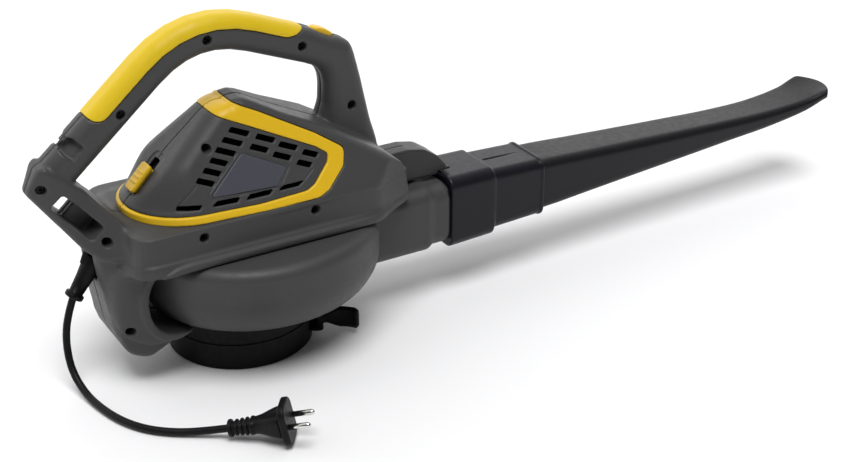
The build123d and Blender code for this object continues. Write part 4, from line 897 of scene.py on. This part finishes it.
# name, CAD node, low and high corner of the sampled box, pitch, field, material, slot, body
SINGLES = [
    ("soft_grip", "handle_grip", (-136, -17.5, 214), (76, 17.5, 309.5), MIDDLE, grip_field,
     GRIP, "trim_yellow", "machine"),
    ("tube_release", "release_lever", (139, -14, 114), (215, 14, 148), MIDDLE, lever_field,
     LEVER, "tube_black", "release"),
    ("turbo_slide", "selector_slide", (-96, -9, 158), (-68, 9, 190), FINE, slide_field,
     YELLOW, "trim_yellow", "selector"),
    ("speed_key", "speed_button", (74, -8, 258), (106, 8, 284), FINE, button_field,
     YELLOW, "trim_yellow", "button"),
    ("guard_paddle", "guard_latch", (48, -66, 6), (98, -32, 25), FINE, latch_field,
     RING, "ring_black", "latch"),
    ("air_tube", "tube_rear", (186, -35, 43), (316, 35, 117), MIDDLE, rear_tube_field,
     TUBE, "tube_black", "tube"),
]
for name, node, low, high, step, field, material, slot, body in SINGLES:
    finish_piece(solid(name, low, high, step, field), material, slot, body, node)
finish_piece(make_nozzle(), NOZZLE, "tube_black", "nozzle", "tube_nozzle")

exit_point = np.array(CORD_ROUTE[0], float)
boot_root = np.array((-127.5, 0, 112.0))
boot_way = exit_point - boot_root
boot_size = float(np.linalg.norm(boot_way))
boot_way /= boot_size
boot = lathe("cord_boot", [
    (0, 0.01), (0, 9.2), (0.8, 9.6), (8, 9.0), (20, 7.4),
    (boot_size - 5, 6.1), (boot_size - 4.4, 7.6), (boot_size - 3.9, 8.2),
    (boot_size - 0.8, 8.2), (boot_size - 0.2, 7.6), (boot_size, 3.6),
    (boot_size - 0.9, 3.3), (boot_size - 0.9, 0.01),
], boot_root, boot_way)
finish_piece(boot, RUBBER, "cord_rubber", "machine", "strain_relief")

plug_tail = np.array(CORD_ROUTE[-1], float)
plug_way = plug_tail - np.array(CORD_ROUTE[-2], float)
plug = solid("mains_plug", (-20, -20, -1), (20, 20, 54), FINE, plug_field)
stand(plug, plug_way, plug_tail)
finish_piece(plug, RUBBER, "cord_rubber", "machine", "plug_body")
way = plug_way / np.linalg.norm(plug_way)
across = np.cross(way, (0, 0, 1))
across /= np.linalg.norm(across)
pins = []
for side in (-1, 1):
    pins.append(lathe("mains_pin_" + ("a" if side < 0 else "b"), [
        (51, 0.01), (51, 2.4), (68.4, 2.4), (69.8, 2.0), (70.7, 1.1), (70.9, 0.01),
    ], plug_tail + side * 9.5 * across, way, 32))
    finish_piece(pins[-1], NICKEL, "pin_nickel", "machine", "plug_pins")

# CAD pieces that stay get their materials by slot, and softened edges
slots = {part["node"]: part["material_slot"] for part in frame["record"]["subparts"]}
for name, node in frame["nodes"].items():
    if node.hide_render:
        continue
    material = BY_SLOT.get(slots.get(name), DARK_STEEL)
    node.data.materials.clear()
    node.data.materials.append(material)
    soft = node.modifiers.new("soft_edges", "BEVEL")
    soft.width = 0.3 * MM
    soft.segments = 2
    soft.limit_method = "ANGLE"

# ------------------------------------------------------------ floor and light

FLOOR_HALF, FLOOR_Z = 18, -0.0005          # in metres
floor_mesh = bpy.data.meshes.new("floor")
floor_corners = [(x * FLOOR_HALF, y * FLOOR_HALF, FLOOR_Z) for x, y in ((-1, -1), (1, -1), (1, 1), (-1, 1))]
floor_mesh.from_pydata(floor_corners, [], [(0, 1, 2, 3)])
floor = bpy.data.objects.new("floor", floor_mesh)
bpy.context.scene.collection.objects.link(floor)
paper = bpy.data.materials.new("white_floor")
paper.use_nodes = True
paper_shader = paper.node_tree.nodes["Principled BSDF"]
paper_shader.inputs["Base Color"].default_value = (0.86, 0.86, 0.87, 1)
paper_shader.inputs["Roughness"].default_value = 0.85
paper_shader.inputs["Specular IOR Level"].default_value = 0.1
floor.data.materials.append(paper)
floor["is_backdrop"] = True

world = bpy.data.worlds.new("studio")
world.use_nodes = True
world_nodes, world_links = world.node_tree.nodes, world.node_tree.links
sky_place = world_nodes.new("ShaderNodeTexCoord")
sky_axes = world_nodes.new("ShaderNodeSeparateXYZ")
sky_ramp = world_nodes.new("ShaderNodeMapRange")
for key, value in (("From Min", -0.3), ("From Max", 0.8), ("To Min", 0.10), ("To Max", 1.5)):
    sky_ramp.inputs[key].default_value = value
world_links.new(sky_place.outputs["Generated"], sky_axes.inputs["Vector"])
world_links.new(sky_axes.outputs["Y"], sky_ramp.inputs["Value"])
world_links.new(sky_ramp.outputs["Result"], world_nodes["Background"].inputs["Strength"])
world_nodes["Background"].inputs["Color"].default_value = (1, 1, 1, 1)
bpy.context.scene.world = world

sun_data = bpy.data.lights.new("overhead_softbox", "SUN")
sun_data.energy = 2.35
sun_data.angle = 0.58
sun = bpy.data.objects.new("overhead_softbox", sun_data)
sun.rotation_euler = Vector((0.10, 0.28, -1)).to_track_quat("-Z", "Y").to_euler()
bpy.context.scene.collection.objects.link(sun)
bpy.context.scene.view_settings.view_transform = "Standard"

low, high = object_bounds()
